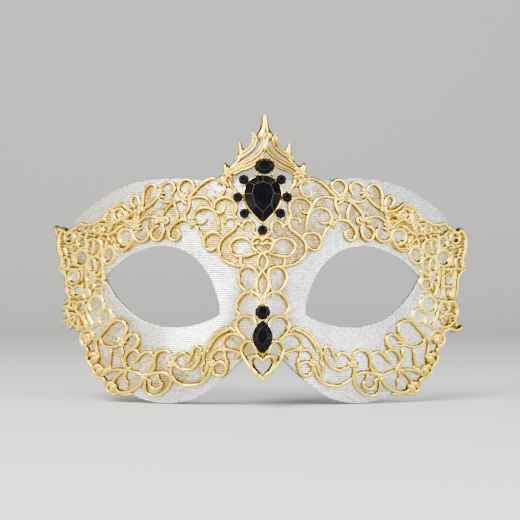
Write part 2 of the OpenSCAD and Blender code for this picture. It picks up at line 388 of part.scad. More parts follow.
// the plate behind the pear stone, with the cups of the seven halo stones
module medallion_plate() color("darkgoldenrod") {
  stand(pear_mid[0], pear_mid[1], front - bed) linear_extrude(plate_h) scale(g * 1.22) polygon(pear_shape);
  pair() stand(13, 81, front - bed) cylinder(h = plate_h, r = 5 * g, $fn = 32);
  pair() for (p = halo) {
    stand(p[0], p[1], front - bed) cylinder(h = plate_h + 0.41, r = 3.2 * g, $fn = 32);
    halo_place(p) round_cup(halo_r * g, 1.3);
  }
  stand(0, 60.2, front - bed) cylinder(h = plate_h + 0.41, r = 3.2 * g, $fn = 32);
  halo_place([0, 60.2]) round_cup(halo_r * g, 1.3);
}
module pear_setting() color("gold") difference() {
  stand(pear_mid[0], pear_mid[1], front - bed + plate_h + 0.02) shape_cup(pear_shape, 2.2, 0.6);
  pair() for (p = halo) halo_place(p) translate([0, 0, -0.6]) cylinder(h = 6, r = halo_r * g + cup_wall + 0.04, $fn = 48);
}
module pear_stone() color("black") stand(pear_mid[0], pear_mid[1], front - bed + plate_h + 0.64) cut_stone(pear_shape, pear_h);
module oval_setting() color("gold") {
  // one post on the crest, one on the plate behind the pear
  stand(2, 129.5, front + 0.8) cylinder(h = 2.2, r = 3.6 * g, $fn = 32);
  stand(2, 118.6, front + 0.55) cylinder(h = 2.4, r = 2 * g, $fn = 32);
  stand(2, 123.5, front - bed + 3) difference() {
    linear_extrude(1.6) scale([9.5 * g + cup_wall, 7.5 * g + cup_wall]) circle(r = 1, $fn = 32);
    translate([0, 0, 0.5]) linear_extrude(2) scale([9.5 * g + 0.03, 7.5 * g + 0.03]) circle(r = 1, $fn = 32);
  }
}
module oval_stone() color("black") stand(2, 123.5, front - bed + 3.52) hull() {
  linear_extrude(0.9) scale([9.5 * g, 7.5 * g]) circle(r = 1, $fn = 20);
  linear_extrude(2.6) scale([5.6 * g, 4.2 * g]) circle(r = 1, $fn = 10);
}
module nose_round_setting() color("gold") {
  stand(0, -21.6, front - bed) cylinder(h = 1.3, r = 5.6 * g, $fn = 40);
  stand(0, -21.6, front - bed + 1.2) round_cup(7.2 * g, 1.4);
}
module nose_round_stone() color("black") stand(0, -21.6, front - bed + 1.72) round_stone(7.2 * g, 3);
module marquise_setting() color("gold") {
  stand(marquise_mid[0], marquise_mid[1], front - bed) linear_extrude(1.3) scale(g * 0.8) polygon(marquise_shape);
  stand(marquise_mid[0], marquise_mid[1], front - bed + 1.2) shape_cup(marquise_shape, 1.5, 0.5);
}
module marquise_stone() color("black") stand(marquise_mid[0], marquise_mid[1], front - bed + 1.72) cut_stone(marquise_shape, 3.2);
module halo_stone_upper_right() color("black") halo_stone(halo[0]);
module halo_stone_upper_left() color("black") mirror([1, 0, 0]) halo_stone(halo[0]);
module halo_stone_middle_right() color("black") halo_stone(halo[1]);
module halo_stone_middle_left() color("black") mirror([1, 0, 0]) halo_stone(halo[1]);
module halo_stone_lower_right() color("black") halo_stone(halo[2]);
module halo_stone_lower_left() color("black") mirror([1, 0, 0]) halo_stone(halo[2]);
module halo_stone_bottom() color("black") halo_stone([0, 60.2]);

// a rolled eyelet: barrel through the three layers, flange in front, washer behind
stack = front + glue + lining_t;
module ribbon_eyelet() stand(eye_x, eye_y, -glue - lining_t - 0.9) rotate_extrude($fn = 64)
  polygon([[eyelet_bore, 0], [barrel_r, 0], [barrel_r, stack + 0.92], [barrel_r + 0.95, stack + 0.92],
    [barrel_r + 0.95, stack + 1.2], [barrel_r + 0.5, stack + 1.5], [barrel_r - 0.1, stack + 1.5], [eyelet_bore, stack + 1.15]]);
module ribbon_eyelet_right() color("gold") ribbon_eyelet();
module ribbon_eyelet_left() color("gold") mirror([1, 0, 0]) ribbon_eyelet();
module eyelet_washer() stand(eye_x, eye_y, -glue - lining_t - 0.72) difference() {
  cylinder(h = 0.4, r = barrel_r + 1.1, $fn = 64);
  translate([0, 0, -1]) cylinder(h = 3, r = barrel_r + 0.03, $fn = 64);
}
module eyelet_washer_right() color("gold") eyelet_washer();
module eyelet_washer_left() color("gold") mirror([1, 0, 0]) eyelet_washer();

shell_core();
face_fabric();
back_lining();
crest();
medallion_filigree();
nose_filigree();
brow_filigree_left();
brow_filigree_right();
temple_filigree_left();
temple_filigree_right();
cheek_filigree_left();
cheek_filigree_right();
medallion_plate();
pear_setting();
pear_stone();
oval_setting();
oval_stone();
nose_round_setting();
nose_round_stone();
marquise_setting();
marquise_stone();
halo_stone_upper_left();
halo_stone_upper_right();
halo_stone_middle_left();
halo_stone_middle_right();
halo_stone_lower_left();
halo_stone_lower_right();
halo_stone_bottom();
ribbon_eyelet_left();
ribbon_eyelet_right();
eyelet_washer_left();
eyelet_washer_right();
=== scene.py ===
import bpy
import math
import numpy as np
import bmesh
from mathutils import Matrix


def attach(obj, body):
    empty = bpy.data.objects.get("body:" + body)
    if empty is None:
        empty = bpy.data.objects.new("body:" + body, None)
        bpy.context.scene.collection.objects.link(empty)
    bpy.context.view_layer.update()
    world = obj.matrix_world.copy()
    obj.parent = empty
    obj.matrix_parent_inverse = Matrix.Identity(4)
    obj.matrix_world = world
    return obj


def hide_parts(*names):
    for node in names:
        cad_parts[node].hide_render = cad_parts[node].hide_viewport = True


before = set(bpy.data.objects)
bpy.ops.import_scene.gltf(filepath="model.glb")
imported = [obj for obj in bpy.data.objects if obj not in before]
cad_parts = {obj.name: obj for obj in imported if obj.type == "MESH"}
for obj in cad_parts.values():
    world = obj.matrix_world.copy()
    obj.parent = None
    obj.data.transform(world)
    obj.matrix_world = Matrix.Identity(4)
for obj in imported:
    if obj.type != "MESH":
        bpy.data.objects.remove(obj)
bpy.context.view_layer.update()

BODY = "root"
MM = 0.001
G = 176.0 / 413.0            # one square of the drawing grid, mm
SHELL, GLUE, CLOTH = 1.6, 0.04, 0.45
FRONT = SHELL + GLUE + CLOTH  # outside of the cloth over the back of the shell
rng = np.random.default_rng(11)

# ---------------------------------------------------------------- the face
def sgn01(t):
    return np.clip(t, 0, 1)


def depth(u, v):
    a = np.abs(u)
    c = np.minimum(a, 79.99)
    side = 95 * (1 - np.sqrt(1 - (c / 96.0) ** 2)) + np.maximum(a - 79.99, 0) * 1.45
    top = np.where(v < 10, 0, np.where(v < 44, 0.0035 * (v - 10) ** 2, 4.05 + 0.238 * (v - 44)))
    low = np.where(v > -10, 0, 0.004 * (v + 10) ** 2)
    nose = 16 * sgn01((35 - v) / 62) ** 1.5 * np.exp(-(u / (9 + 3 * sgn01((20 - v) / 50))) ** 2)
    cheek = 3 * np.exp(-((a - 42) / 20) ** 2 - ((v + 32) / 15) ** 2)
    sock = 2.5 * np.exp(-((a - 43) / 24) ** 2 - ((v - 1) / 15) ** 2)
    return 6.0 + side + top + low - nose - cheek + sock


def at(u, v):
    y = depth(u, v)
    k = 1 + y / 900.0
    return np.stack([u * k, y, 12.8 + (v - 12.8) * k], -1)


def out(u, v, e=0.15):
    a = at(u + e, v) - at(u - e, v)
    b = at(u, v + e) - at(u, v - e)
    n = np.cross(a, b)
    return n / np.linalg.norm(n, axis=-1, keepdims=True)


def lift(u, v, h):
    """h over the back of the shell; the drawing is true on the front of the cloth."""
    n = out(u, v)
    return at(u, v) + n * np.asarray(h, float)[..., None] - FRONT * n * np.array([1.0, 0, 1.0])


# ---------------------------------------------------------------- small tools
def spline(points, closed=False, step=0.9):
    """Smooth curve through the points, resampled evenly (grid squares)."""
    p = np.array(points, float)
    n = len(p)
    if n == 2 and not closed:
        q = np.linspace(p[0], p[1], 4)
    else:
        if closed:
            ext = np.vstack([p[-1], p, p[0], p[1]])
            spans = n
        else:
            ext = np.vstack([2 * p[0] - p[1], p, 2 * p[-1] - p[-2]])
            spans = n - 1
        q = []
        for i in range(spans):
            a, b, c, d = ext[i:i + 4]
            t0 = 0.0
            t1 = t0 + max(np.linalg.norm(b - a), 1e-6) ** 0.5
            t2 = t1 + max(np.linalg.norm(c - b), 1e-6) ** 0.5
            t3 = t2 + max(np.linalg.norm(d - c), 1e-6) ** 0.5
            for t in np.linspace(t1, t2, 13)[:-1]:
                a1 = a * (t1 - t) / (t1 - t0) + b * (t - t0) / (t1 - t0)
                a2 = b * (t2 - t) / (t2 - t1) + c * (t - t1) / (t2 - t1)
                a3 = c * (t3 - t) / (t3 - t2) + d * (t - t2) / (t3 - t2)
                b1 = a1 * (t2 - t) / (t2 - t0) + a2 * (t - t0) / (t2 - t0)
                b2 = a2 * (t3 - t) / (t3 - t1) + a3 * (t - t1) / (t3 - t1)
                q.append(b1 * (t2 - t) / (t2 - t1) + b2 * (t - t1) / (t2 - t1))
        if not closed:
            q.append(p[-1])
        q = np.array(q)
    if closed:
        q = np.vstack([q, q[0]])
    s = np.concatenate([[0], np.cumsum(np.linalg.norm(np.diff(q, axis=0), axis=1))])
    m = max(4, int(round(s[-1] / step)))
    t = np.linspace(0, s[-1], m + 1)
    if closed:
        t = t[:-1]
    return np.stack([np.interp(t, s, q[:, 0]), np.interp(t, s, q[:, 1])], -1)


class Stock:
    """Collects triangles and quads of one piece, in millimetres."""
    def __init__(self):
        self.v, self.f, self.t, self.n = [], [], [], 0

    def add(self, verts, faces, painted_light=None):
        """The last argument is painted light: 0 paints shade into the recesses of the metal and 1 a highlight onto its
        crests.
        """
        self.v.append(np.asarray(verts, float))
        self.t.append(np.full(len(verts), 0.8) if painted_light is None else np.asarray(painted_light, float))
        self.f += [tuple(int(i) + self.n for i in f) for f in faces]
        self.n += len(verts)

    def mirror(self):
        m = Stock()
        v = np.vstack(self.v).copy()
        v[:, 0] *= -1
        m.add(v, [f[::-1] for f in self.f], np.concatenate(self.t))
        return m

    def join(self, other):
        self.add(np.vstack(other.v), other.f, np.concatenate(other.t))
        return self


def piece(name, stock, mat, nodes, smooth=True):
    me = bpy.data.meshes.new(name)
    me.from_pydata((np.vstack(stock.v) * MM).tolist(), [], stock.f)
    # the painted shade and highlight of each vertex, read by the gold materials
    painted_light = me.attributes.new("painted_light", "FLOAT", "POINT")
    painted_light.data.foreach_set("value", np.concatenate(stock.t).astype(np.float32))
    me.validate()
    me.update()
    ob = bpy.data.objects.new(name, me)
    bpy.context.scene.collection.objects.link(ob)
    me.materials.append(mat)
    if smooth:
        me.polygons.foreach_set("use_smooth", [True] * len(me.polygons))
    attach(ob, BODY)
    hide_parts(*nodes)
    return ob


LACE = []


def wire(stock, path, w=4.5, h=3.3, closed=False, base=0.0, ends="bulb", wf=None, axis=0.0, step=0.9, ridge=0.0, air=False):
    """A cast wire of D section along a path of the drawing. w and h in grid
    squares; wf(t) scales the width and the height along it. base in mm."""
    q = spline(path, closed, step)
    q[:, 0] += axis
    n = len(q)
    if base < 1.5:
        LACE.append(q.copy())
    u, v = q[:, 0] * G, q[:, 1] * G
    nn = out(u, v)
    p = lift(u, v, np.full(n, FRONT + base)) - (0.5 + base) * nn * np.array([1.0, 0, 1.0])
    t = (np.roll(p, -1, 0) - np.roll(p, 1, 0)) if closed else np.gradient(p, axis=0)
    t /= np.linalg.norm(t, axis=1, keepdims=True)
    s = np.cross(t, nn)
    s /= np.linalg.norm(s, axis=1, keepdims=True)
    tt = np.linspace(0, 1, n)
    k = np.ones(n) if wf is None else np.array([wf(x) for x in tt])
    if not closed and ends == "bulb" and wf is None:
        d = np.minimum(tt, 1 - tt) * n * step
        k = np.clip(0.62 + 0.38 * d / 5.0, 0, 1) ** 0.8
    # slow hand-made change of width
    ph = rng.uniform(0, 6.28, 2)
    k = k * (1 + 0.05 * np.sin(tt * n * 0.25 + ph[0]) + 0.015 * np.sin(tt * n * 0.7 + ph[1]))
    ang = np.radians([0, 28, 58, 90, 122, 152, 180])
    prof = [(0.5 * math.cos(a), math.sin(a) ** 0.85 + (ridge if abs(a - math.pi / 2) < 0.1 else 0)) for a in ang]
    prof = [(0.5, -0.22)] + prof + [(-0.5, -0.22)]
    m = len(prof)
    W, H = w * G, h * G
    vs = np.zeros((n, m, 3))
    for j, (a, b) in enumerate(prof):
        vs[:, j] = p + s * (a * W * k)[:, None] + nn * ((b if b > 0 else b) * H * (k if b > 0 else np.ones(n)))[:, None]
    faces = []
    rows = n if closed else n - 1
    for i in range(rows):
        i2 = (i + 1) % n
        for j in range(m):
            j2 = (j + 1) % m
            faces.append((i * m + j, i2 * m + j, i2 * m + j2, i * m + j2))
    # painted shade down the sides of the wire, painted highlight along its top
    painted_light = np.tile([0.0] + [0.14, 0.46, 0.86, 1.0, 0.86, 0.46, 0.14] + [0.0], n)
    stock.add(vs.reshape(-1, 3), faces, painted_light)
    if not closed:
        a = len(vs.reshape(-1, 3))
        stock.f.append(tuple(stock.n - a + j for j in range(m)))
        stock.f.append(tuple(stock.n - m + j for j in range(m))[::-1])
    return q


def bulb(stock, gx, gy, r=1.5, h=2.2, base=0.0, seg=12):
    """A small cast bead: a flattened dome on the face."""
    u, v = gx * G, gy * G
    n = out(np.array(u), np.array(v))
    c = lift(np.array(u), np.array(v), FRONT + base) - (0.5 + base) * n * np.array([1.0, 0, 1.0])
    x = np.cross([0, 0, 1.0], n)
    x /= np.linalg.norm(x)
    y = np.cross(n, x)
    vs, fs = [], []
    rings = [(1.0, -0.15), (1.02, 0.2), (0.9, 0.55), (0.62, 0.85), (0.3, 0.98)]
    for rr, hh in rings:
        for k in range(seg):
            a = 2 * math.pi * k / seg
            vs.append(c + (x * math.cos(a) + y * math.sin(a)) * rr * r * G + n * hh * h * G)
    vs.append(c + n * h * G * 1.02)
    for i in range(len(rings) - 1):
        for k in range(seg):
            k2 = (k + 1) % seg
            fs.append((i * seg + k, i * seg + k2, (i + 1) * seg + k2, (i + 1) * seg + k))
    top = len(vs) - 1
    for k in range(seg):
        fs.append(((len(rings) - 1) * seg + k, (len(rings) - 1) * seg + (k + 1) % seg, top))
    # painted shade at the foot of the bead, painted highlight on its dome
    painted_light = np.concatenate([np.full(seg, 0.1), np.full(seg, 0.3), np.full(seg, 0.75), np.full(seg, 1.0), np.full(seg, 1.0), [1.0]])
    stock.add(vs, fs, painted_light)


def leaf(stock, a, b, w=4.2, h=3.2, curl=0.0, base=0.0, axis=0.0):
    """A pointed cast leaf from a to b with a raised middle rib."""
    a, b = np.array(a, float), np.array(b, float)
    d = b - a
    side = np.array([-d[1], d[0]])
    mid = (a + b) / 2 + side * curl
    wire(stock, [a, mid, b], w=w, h=h, base=base, axis=axis, step=0.6, ridge=0.18,
         wf=lambda t: max(0.06, math.sin(math.pi * (0.16 + 0.82 * t)) ** 0.9), ends="none")


def claw(stock, gx, gy, turn, size=6.5, n=3, spread=38, base=0.3, w=4.7):
    size *= 1.22
    """A claw knot: pointed leaves round a small bead, over a joint of wires."""
    for k in range(n):
        a = math.radians(turn + (k - (n - 1) / 2) * spread)
        l = size * (1.0 if k == (n - 1) / 2 else 0.82)
        leaf(stock, (gx - 0.8 * math.cos(a), gy - 0.8 * math.sin(a)),
             (gx + l * math.cos(a), gy + l * math.sin(a)), w=w, h=4.0, curl=0.12 * (k - (n - 1) / 2), base=base)
    bulb(stock, gx, gy, 2.3, 4.2, base)


# ---------------------------------------------------------------- the drawing
# right half, in grid squares: x from the middle of the nose, y up from the origin
EDGE = [[0, 110], [20, 110], [40, 109.5], [62, 109.5], [85, 111], [104, 110.5], [117, 109],
  [129, 106.5], [142, 101.5], [154, 95.5], [167.5, 86.5], [180, 76], [187, 68], [190.5, 59], [191.5, 48], [191.5, 35],
  [191.5, 22], [190.5, 8], [190.5, -2], [189.5, -12], [186, -24], [181, -37], [175.5, -50], [168.5, -64],
  [160.5, -77], [150.5, -89], [140.5, -98], [130, -104], [118, -109], [107, -111.5], [93, -112.5], [77.5, -110.5],
  [63, -105.5], [54, -99.5], [42.5, -90], [34.5, -82], [27.5, -74.5], [21.5, -68.5], [16, -65], [10, -63.5], [0, -62.5],
  [0, -44], [0, -24], [0, 0], [0, 28], [0, 56], [0, 84]]
EYE = [[158.5, 12], [152, 19.5], [146, 25], [134.5, 34], [120, 40.5], [104, 44.5], [89, 43], [75.5, 38], [63.5, 28.5],
  [53.5, 15], [47, 0], [43, -15], [42.5, -25], [53.5, -30.5], [68.5, -35.5], [83, -37.5], [98, -37], [111, -34],
  [122, -29.5], [136.5, -18.5], [148, -5.5], [155, 6]]
MEDALLION_LINES = [
  [[28.5, 74], [26.5, 80], [27, 86.5], [31.5, 91], [37.5, 92.5], [43.5, 90.5], [48, 86], [48.5, 81.5], [46, 78], [42, 77], [39, 79.5], [37.5, 83.5]],
  [[38, 67.5], [35, 71.5], [31, 72.5], [27, 70.5], [26, 66], [28, 61], [33.5, 56.5], [38.5, 52.5], [42.5, 47], [43.5, 41], [42.5, 35], [39, 30.5], [32.5, 26.5], [23.5, 24]],
  [[9, 58], [8.5, 64], [11, 68], [15, 69.5], [18.5, 67], [20, 62]],
  [[27, 100], [31, 104], [33, 109], [37.5, 112]],
  [[20, 62], [23, 65.5], [26, 66]],
  [[30, 90], [27.5, 95], [27, 100]],
  [[28.5, 74], [25.5, 72], [23, 68]]]
NOSE_LINES = [
  [[10, 45], [12.5, 48.5], [17, 51.5], [22.5, 52], [28.5, 50], [32.5, 44.5], [31.5, 39], [27, 34.5], [21.5, 33.5], [14.5, 34.5], [7.5, 36.5]],
  [[0, 49.5], [2.5, 52], [6, 52.5], [10, 49.5], [10.5, 45], [7.5, 40], [0.5, 36]],
  [[0.5, 37.5], [3.5, 33], [5, 28], [3.5, 23], [0.5, 19]],
  [[10.5, -1], [7.5, 3], [6, 9], [5.5, 14.5], [6.5, 19.5], [10, 22.5], [15, 23.5], [20, 21.5], [23.5, 16], [23.5, 9], [21, 3.5], [16.5, -1]],
  [[0.5, 19], [4.5, 12], [6, 6], [5, 0], [0.5, -7]],
  [[1.5, -13], [2, -8.5], [5, -4.5], [11, -2], [17, -3], [22, -7.5], [25.5, -13.5], [26, -19], [23, -24]],
  [[6, -38], [6.5, -32], [9.5, -28], [14, -26], [19.5, -26.5], [24.5, -30.5], [26, -36], [23, -42.5], [17.5, -49]],
  [[5.5, -62], [7, -57], [10.5, -52.5], [15, -51], [19, -54.5], [20.5, -60], [19, -66], [15, -72.5], [10.5, -79.5], [5.5, -85.5], [0.5, -89]],
  [[9, 58], [5, 55], [0.5, 52.5]],
  [[10, 45], [5, 47], [0.5, 46]],
  [[21, 33.5], [22, 28], [20, 21.5]],
  [[23, -24], [25, -27.5], [24.5, -30.5]],
  [[8, -52], [13, -50.5], [17.5, -49]]]
HEART_LINE = [[0.5, -71.5], [3, -67.5], [7, -65.5], [10.5, -68], [11.5, -73], [9, -79], [5, -83.5], [0.5, -87]]
BROW_LINES = [
  [[43.5, 109.5], [46.5, 111], [51, 111], [56.5, 108.5], [62.5, 104], [67.5, 98.5], [73, 92], [72.5, 87], [73.5, 82], [75.5, 78], [77.5, 74.5]],
  [[40.5, 109], [38, 104], [38.5, 98.5], [41.5, 94.5], [45.5, 93], [48.5, 95.5], [48.5, 98.5]],
  [[50, 83], [52, 87.5], [56, 91.5], [61.5, 93], [67.5, 92.5], [72.5, 90.5]],
  [[43.5, 61], [44, 68], [46.5, 76], [51, 80.5], [57.5, 82], [63.5, 80.5], [67.5, 76.5], [69, 71.5], [70, 67], [72, 62.5]],
  [[56, 70.5], [58, 68], [61.5, 66.5], [65, 67.5], [67.5, 68]],
  [[67.5, 65], [63.5, 60], [61, 54.5], [59, 49]],
  [[40, 52.5], [43.5, 56], [48.5, 57.5], [54, 56], [58, 51.5], [58.5, 46], [55.5, 41], [51, 40], [46.5, 42.5]],
  [[78.5, 94], [73.5, 97], [69.5, 101], [69, 105.5], [72, 109], [77, 110], [81.5, 107], [83.5, 102.5], [82.5, 98], [78.5, 95.5]],
  [[80.5, 90.5], [85.5, 89], [90.5, 86], [95.5, 81], [99, 76], [101.5, 70.5]],
  [[90, 95.5], [87.5, 100], [88, 104.5], [91.5, 107.5], [96, 107], [100, 104], [102, 100]],
  [[81.5, 93], [86.5, 90.5], [92.5, 88], [97.5, 88], [101.5, 89.5], [104, 93]],
  [[104.5, 99], [106.5, 103.5], [110.5, 105.5], [115, 103], [118, 98.5], [119, 93], [119, 87], [119.5, 82]],
  [[104.5, 93], [108.5, 88], [113.5, 83.5], [119.5, 80.5]],
  [[104, 69], [106, 72], [110.5, 73.5], [115.5, 73], [120, 70.5], [123.5, 66.5], [126, 63]],
  [[123.5, 72.5], [122.5, 79], [122, 86], [123.5, 91.5], [126.5, 94], [130, 91.5], [130.5, 86.5], [127.5, 83]],
  [[72.5, 67.5], [75.5, 69.5], [80.5, 70], [85.5, 68], [90, 63.5], [93, 58.5], [93, 54], [90, 50], [86, 50], [82.5, 53.5], [82.5, 57.5], [85.5, 60]],
  [[100.5, 67], [98.5, 62], [99, 56], [102, 51], [106, 49.5], [110, 52.5], [111, 57.5], [108.5, 62], [104.5, 64]],
  [[101, 70.5], [97.5, 72.5], [94.5, 71], [94.5, 68], [97, 66.5], [100.5, 67.5]],
  [[88, 87], [86, 81.5], [84.5, 75], [85, 71], [87.5, 69]],
  [[77.5, 74.5], [77, 72], [76, 69.5]], [[123.5, 72.5], [125, 68], [126, 63]], [[129.5, 60], [128, 62.5], [126.5, 64]],
  [[67.5, 65], [70.5, 66.5]], [[104, 93], [103.5, 96], [104.5, 99]], [[102, 100], [103.5, 96]], [[40.5, 109], [43.5, 109.5]], [[78.5, 91], [82, 93]], [[118.5, 79.5], [120.5, 82]],
  [[139.5, 73], [136.5, 72]],
  [[116, 63], [113.5, 58.5], [113.5, 53.5], [116.5, 49.5], [121, 48.5], [126, 50.5], [129, 55], [129.5, 60]],
  [[126.5, 64], [131.5, 65.5], [136.5, 69], [139.5, 73]],
  [[129.5, 55.5], [130, 49], [133.5, 43], [139, 39.5], [144.5, 40.5], [147.5, 45]],
  [[119.5, 79.5], [125.5, 78], [131.5, 79.5], [136.5, 83], [140.5, 86], [145.5, 84.5], [150.5, 80.5], [155, 76.5]],
  [[136.5, 72], [137.5, 77.5], [141, 81], [145.5, 80], [148, 76], [146.5, 71.5], [142.5, 70]]]
TEMPLE_LINES = [
  [[155, 76.5], [159.5, 71.5], [165.5, 68.5], [173.5, 65], [178.5, 67], [183.5, 66.5], [187.5, 62.5]],
  [[189.5, 62.5], [194.5, 59], [198.5, 61], [202.5, 57], [205, 50], [205, 42], [202, 34], [202, 30], [205, 22], [199, 15.5], [197, 7], [195.5, -1], [193, -5.5]],
  [[174.5, 27], [179, 23], [185, 22], [191, 24], [195, 28.5]],
  [[174.5, 27], [176.5, 13], [175.5, 3], [171.5, -6]],
  [[184.5, 22.5], [184, 10], [183.5, 2], [181, -3]],
  [[190.5, 24], [189.5, 10], [189.5, 0]],
  [[189.5, -40], [194.5, -41], [199.5, -36.5], [195, -33]],
  [[171.5, -6], [168, -6.5], [165.5, 0.5]], [[171, 5.5], [175.5, 3]], [[152.5, 43.5], [153, 48]], [[168.5, -37], [168.5, -41]],
  [[170.5, -34], [174, -35]], [[170, 60], [176, 58]], [[186, 57.5], [191, 55]], [[176, 48], [179, 53]], [[158, 51], [164, 46]],
  [[170.5, -10], [173.5, -16], [174.5, -24], [173, -31], [168.5, -37]]]
CHEEK_LINES = [
  [[27.5, -40.5], [31.5, -38], [37.5, -38], [44.5, -41.5], [50.5, -47.5], [54.5, -54], [57.5, -61], [59, -68], [58.5, -73]],
  [[31.5, -38.5], [39.5, -42], [46, -46.5], [51, -53], [55, -61]],
  [[23, -45.5], [27.5, -43.5], [32.5, -44], [37, -47.5], [39, -53], [39.5, -59]],
  [[21.5, -63], [26.5, -61], [32.5, -59.5], [38.5, -60], [44.5, -59.5], [49, -63], [51, -68.5], [51, -74]],
  [[51, -76], [52.5, -82], [56, -88.5], [61.5, -93], [68.5, -95], [76.5, -95], [83.5, -92], [89, -88], [91.5, -82], [90.5, -76]],
  [[73.5, -68.5], [70.5, -65], [69, -59.5], [66, -56], [62.5, -57.5], [62, -63], [63.5, -69.5], [66.5, -74.5], [71.5, -78.5], [77.5, -79.5], [83.5, -77.5], [88, -74.5]],
  [[73.5, -70], [75, -65.5], [79, -62.5], [84, -64.5], [88, -68.5], [90.5, -73.5]],
  [[58.5, -71], [60.5, -76], [60.5, -81], [58.5, -85], [57.5, -90]],
  [[89.5, -68], [90.5, -73.5]],
  [[89.5, -68], [92, -63], [96.5, -60], [102, -60.5], [106, -64.5], [107.5, -70.5], [107.5, -76], [110.5, -80.5], [114.5, -84]],
  [[108, -67], [110.5, -63], [115.5, -61.5], [120.5, -64.5], [124.5, -69], [128.5, -72.5]],
  [[116.5, -86], [111.5, -83.5], [105.5, -82], [98.5, -82.5], [93.5, -84.5], [91, -89], [93, -95.5], [97.5, -101], [103.5, -104.5], [110.5, -105], [115.5, -102], [117, -96], [117, -90]],
  [[105.5, -82], [102.5, -90.5], [100, -94], [102.5, -97.5], [107.5, -98.5], [112, -95.5], [112, -90.5]],
  [[108.5, -68], [109.5, -73], [113, -79], [116.5, -84]],
  [[118.5, -86], [122.5, -83.5], [128.5, -81], [135.5, -79.5], [141.5, -82.5], [146.5, -88], [149, -93], [146.5, -98.5], [141, -101.5], [134.5, -101.5], [127.5, -98.5], [122, -94], [118.5, -89]],
  [[124, -68], [123.5, -62.5], [127, -59.5], [132, -60.5], [136, -65.5], [137, -71.5], [134.5, -77], [131.5, -80]],
  [[140, -56], [139, -62.5], [139.5, -68], [137.5, -74], [136.5, -79.5]],
  [[150.5, -58], [151, -66], [152, -73], [155, -79.5], [158.5, -83]],
  [[136.5, -79.5], [143.5, -79], [150.5, -80], [156.5, -83.5]],
  [[142, -51.5], [138, -47], [135.5, -40.5], [136, -34.5], [139.5, -31], [145, -30], [150, -32.5], [154, -37], [158, -41.5], [161.5, -46.5], [160.5, -51.5], [155.5, -55.5], [149, -56.5], [142.5, -55]],
  [[140.5, -53], [136, -49], [133, -45.5], [128.5, -44], [124.5, -46], [123.5, -51], [125, -55.5], [129, -57.5], [133.5, -56]],
  [[180.5, -44], [181, -49], [178.5, -55], [174, -59.5], [175, -65], [173.5, -71], [169.5, -76.5], [168, -81.5], [163, -86], [157, -89.5], [156.5, -95.5], [153, -101], [147, -103.5], [142, -102], [136.5, -104], [130.5, -103.5]],
  [[161.5, -46], [165.5, -51], [165, -59], [163.5, -66]]]
PEAR = [[0, -24.8], [-4, -20.5], [-8.5, -13.5], [-13, -7], [-17, -0.5], [-18.8, 5], [-17.8, 11], [-14.5, 16.5], [-8.8, 20.8], [0, 22.5],
  [8.8, 20.8], [14.5, 16.5], [17.8, 11], [18.8, 5], [17, -0.5], [13, -7], [8.5, -13.5], [4, -20.5]]
MARQUISE = [[0, 17.2], [4.2, 13], [7.6, 7.5], [9.4, 2], [9.4, -2], [7.6, -7.5], [4.2, -13], [0, -17.2], [-4.2, -13], [-7.6, -7.5], [-9.4, -2], [-9.4, 2], [-7.6, 7.5], [-4.2, 13]]
CHEEK_LINES += [[[37.5, -61], [37, -67], [35, -72], [35.5, -78]], [[21.5, -62.5], [26, -68]], [[54, -72], [55, -78], [58.3, -85]], [[136, -82], [137, -87], [134.5, -91.5], [135, -96]]]
CHEEK_RINGS = [[43, -78.5, 7, 7], [175, -48.5, 5.5, 6], [168.5, -67, 6, 6.5], [163.5, -79, 5.5, 6], [150.5, -96.5, 6, 6.5]]
TEMPLE_LINES += [[[189.5, -40], [194.5, -41], [199.5, -36.5]], [[184, 4], [189.5, 4]]]
TEMPLE_RINGS = [[146.5, 64, 6, 5.5], [157.5, 66, 5.5, 5], [153.5, 53, 7, 5.5], [166.5, 60, 5.5, 5.5], [177.5, 59, 5, 5], [185.5, 56, 4.5, 5],
                [193.5, 54, 4.5, 6], [200.5, 49, 3.5, 8], [171, 43, 8.5, 9], [182.5, 45, 4.5, 5], [193.5, 42, 5, 5], [181, 32.5, 6.5, 7.5],
                [192.5, 32, 5, 5], [198.5, 26, 4, 6], [152.5, 34.5, 6, 9.5], [168, 24, 6, 9.5], [163.5, 18, 5, 6], [139.5, 62, 5, 5],
                [136.5, 51, 6.5, 8], [165.5, 5.5, 5.5, 5], [166, -15, 8, 8.5], [157, -25.5, 6.5, 7.5], [183, -17.5, 6, 6], [191, -21, 5, 6.5],
                [189.5, -32, 5.5, 6], [179, -34, 6, 5.5]]

# ---------------------------------------------------------------- materials
def nodes_of(name):
    m = bpy.data.materials.new(name)
    m.use_nodes = True
    nt = m.node_tree
    nt.nodes.clear()
    o = nt.nodes.new("ShaderNodeOutputMaterial")
    b = nt.nodes.new("ShaderNodeBsdfPrincipled")
    nt.links.new(b.outputs[0], o.inputs[0])
    return m, nt, b


def add(nt, kind, **kw):
    n = nt.nodes.new(kind)
    for k, v in kw.items():
        if k.startswith("i_"):
            n.inputs[k[2:].replace("_", " ")].default_value = v
        else:
            setattr(n, k, v)
    return n


def ramp(nt, src, stops):
    r = nt.nodes.new("ShaderNodeValToRGB")
    el = r.color_ramp.elements
    while len(el) < len(stops):
        el.new(0.5)
    for e, (p, c) in zip(el, stops):
        e.position = p
        e.color = (*c, 1) if len(c) == 3 else c
    nt.links.new(src, r.inputs[0])
    return r


def mapping(nt, scale):
    c = add(nt, "ShaderNodeTexCoord")
    m = add(nt, "ShaderNodeMapping")
    m.inputs["Scale"].default_value = scale
    nt.links.new(c.outputs["Object"], m.inputs["Vector"])
    return m


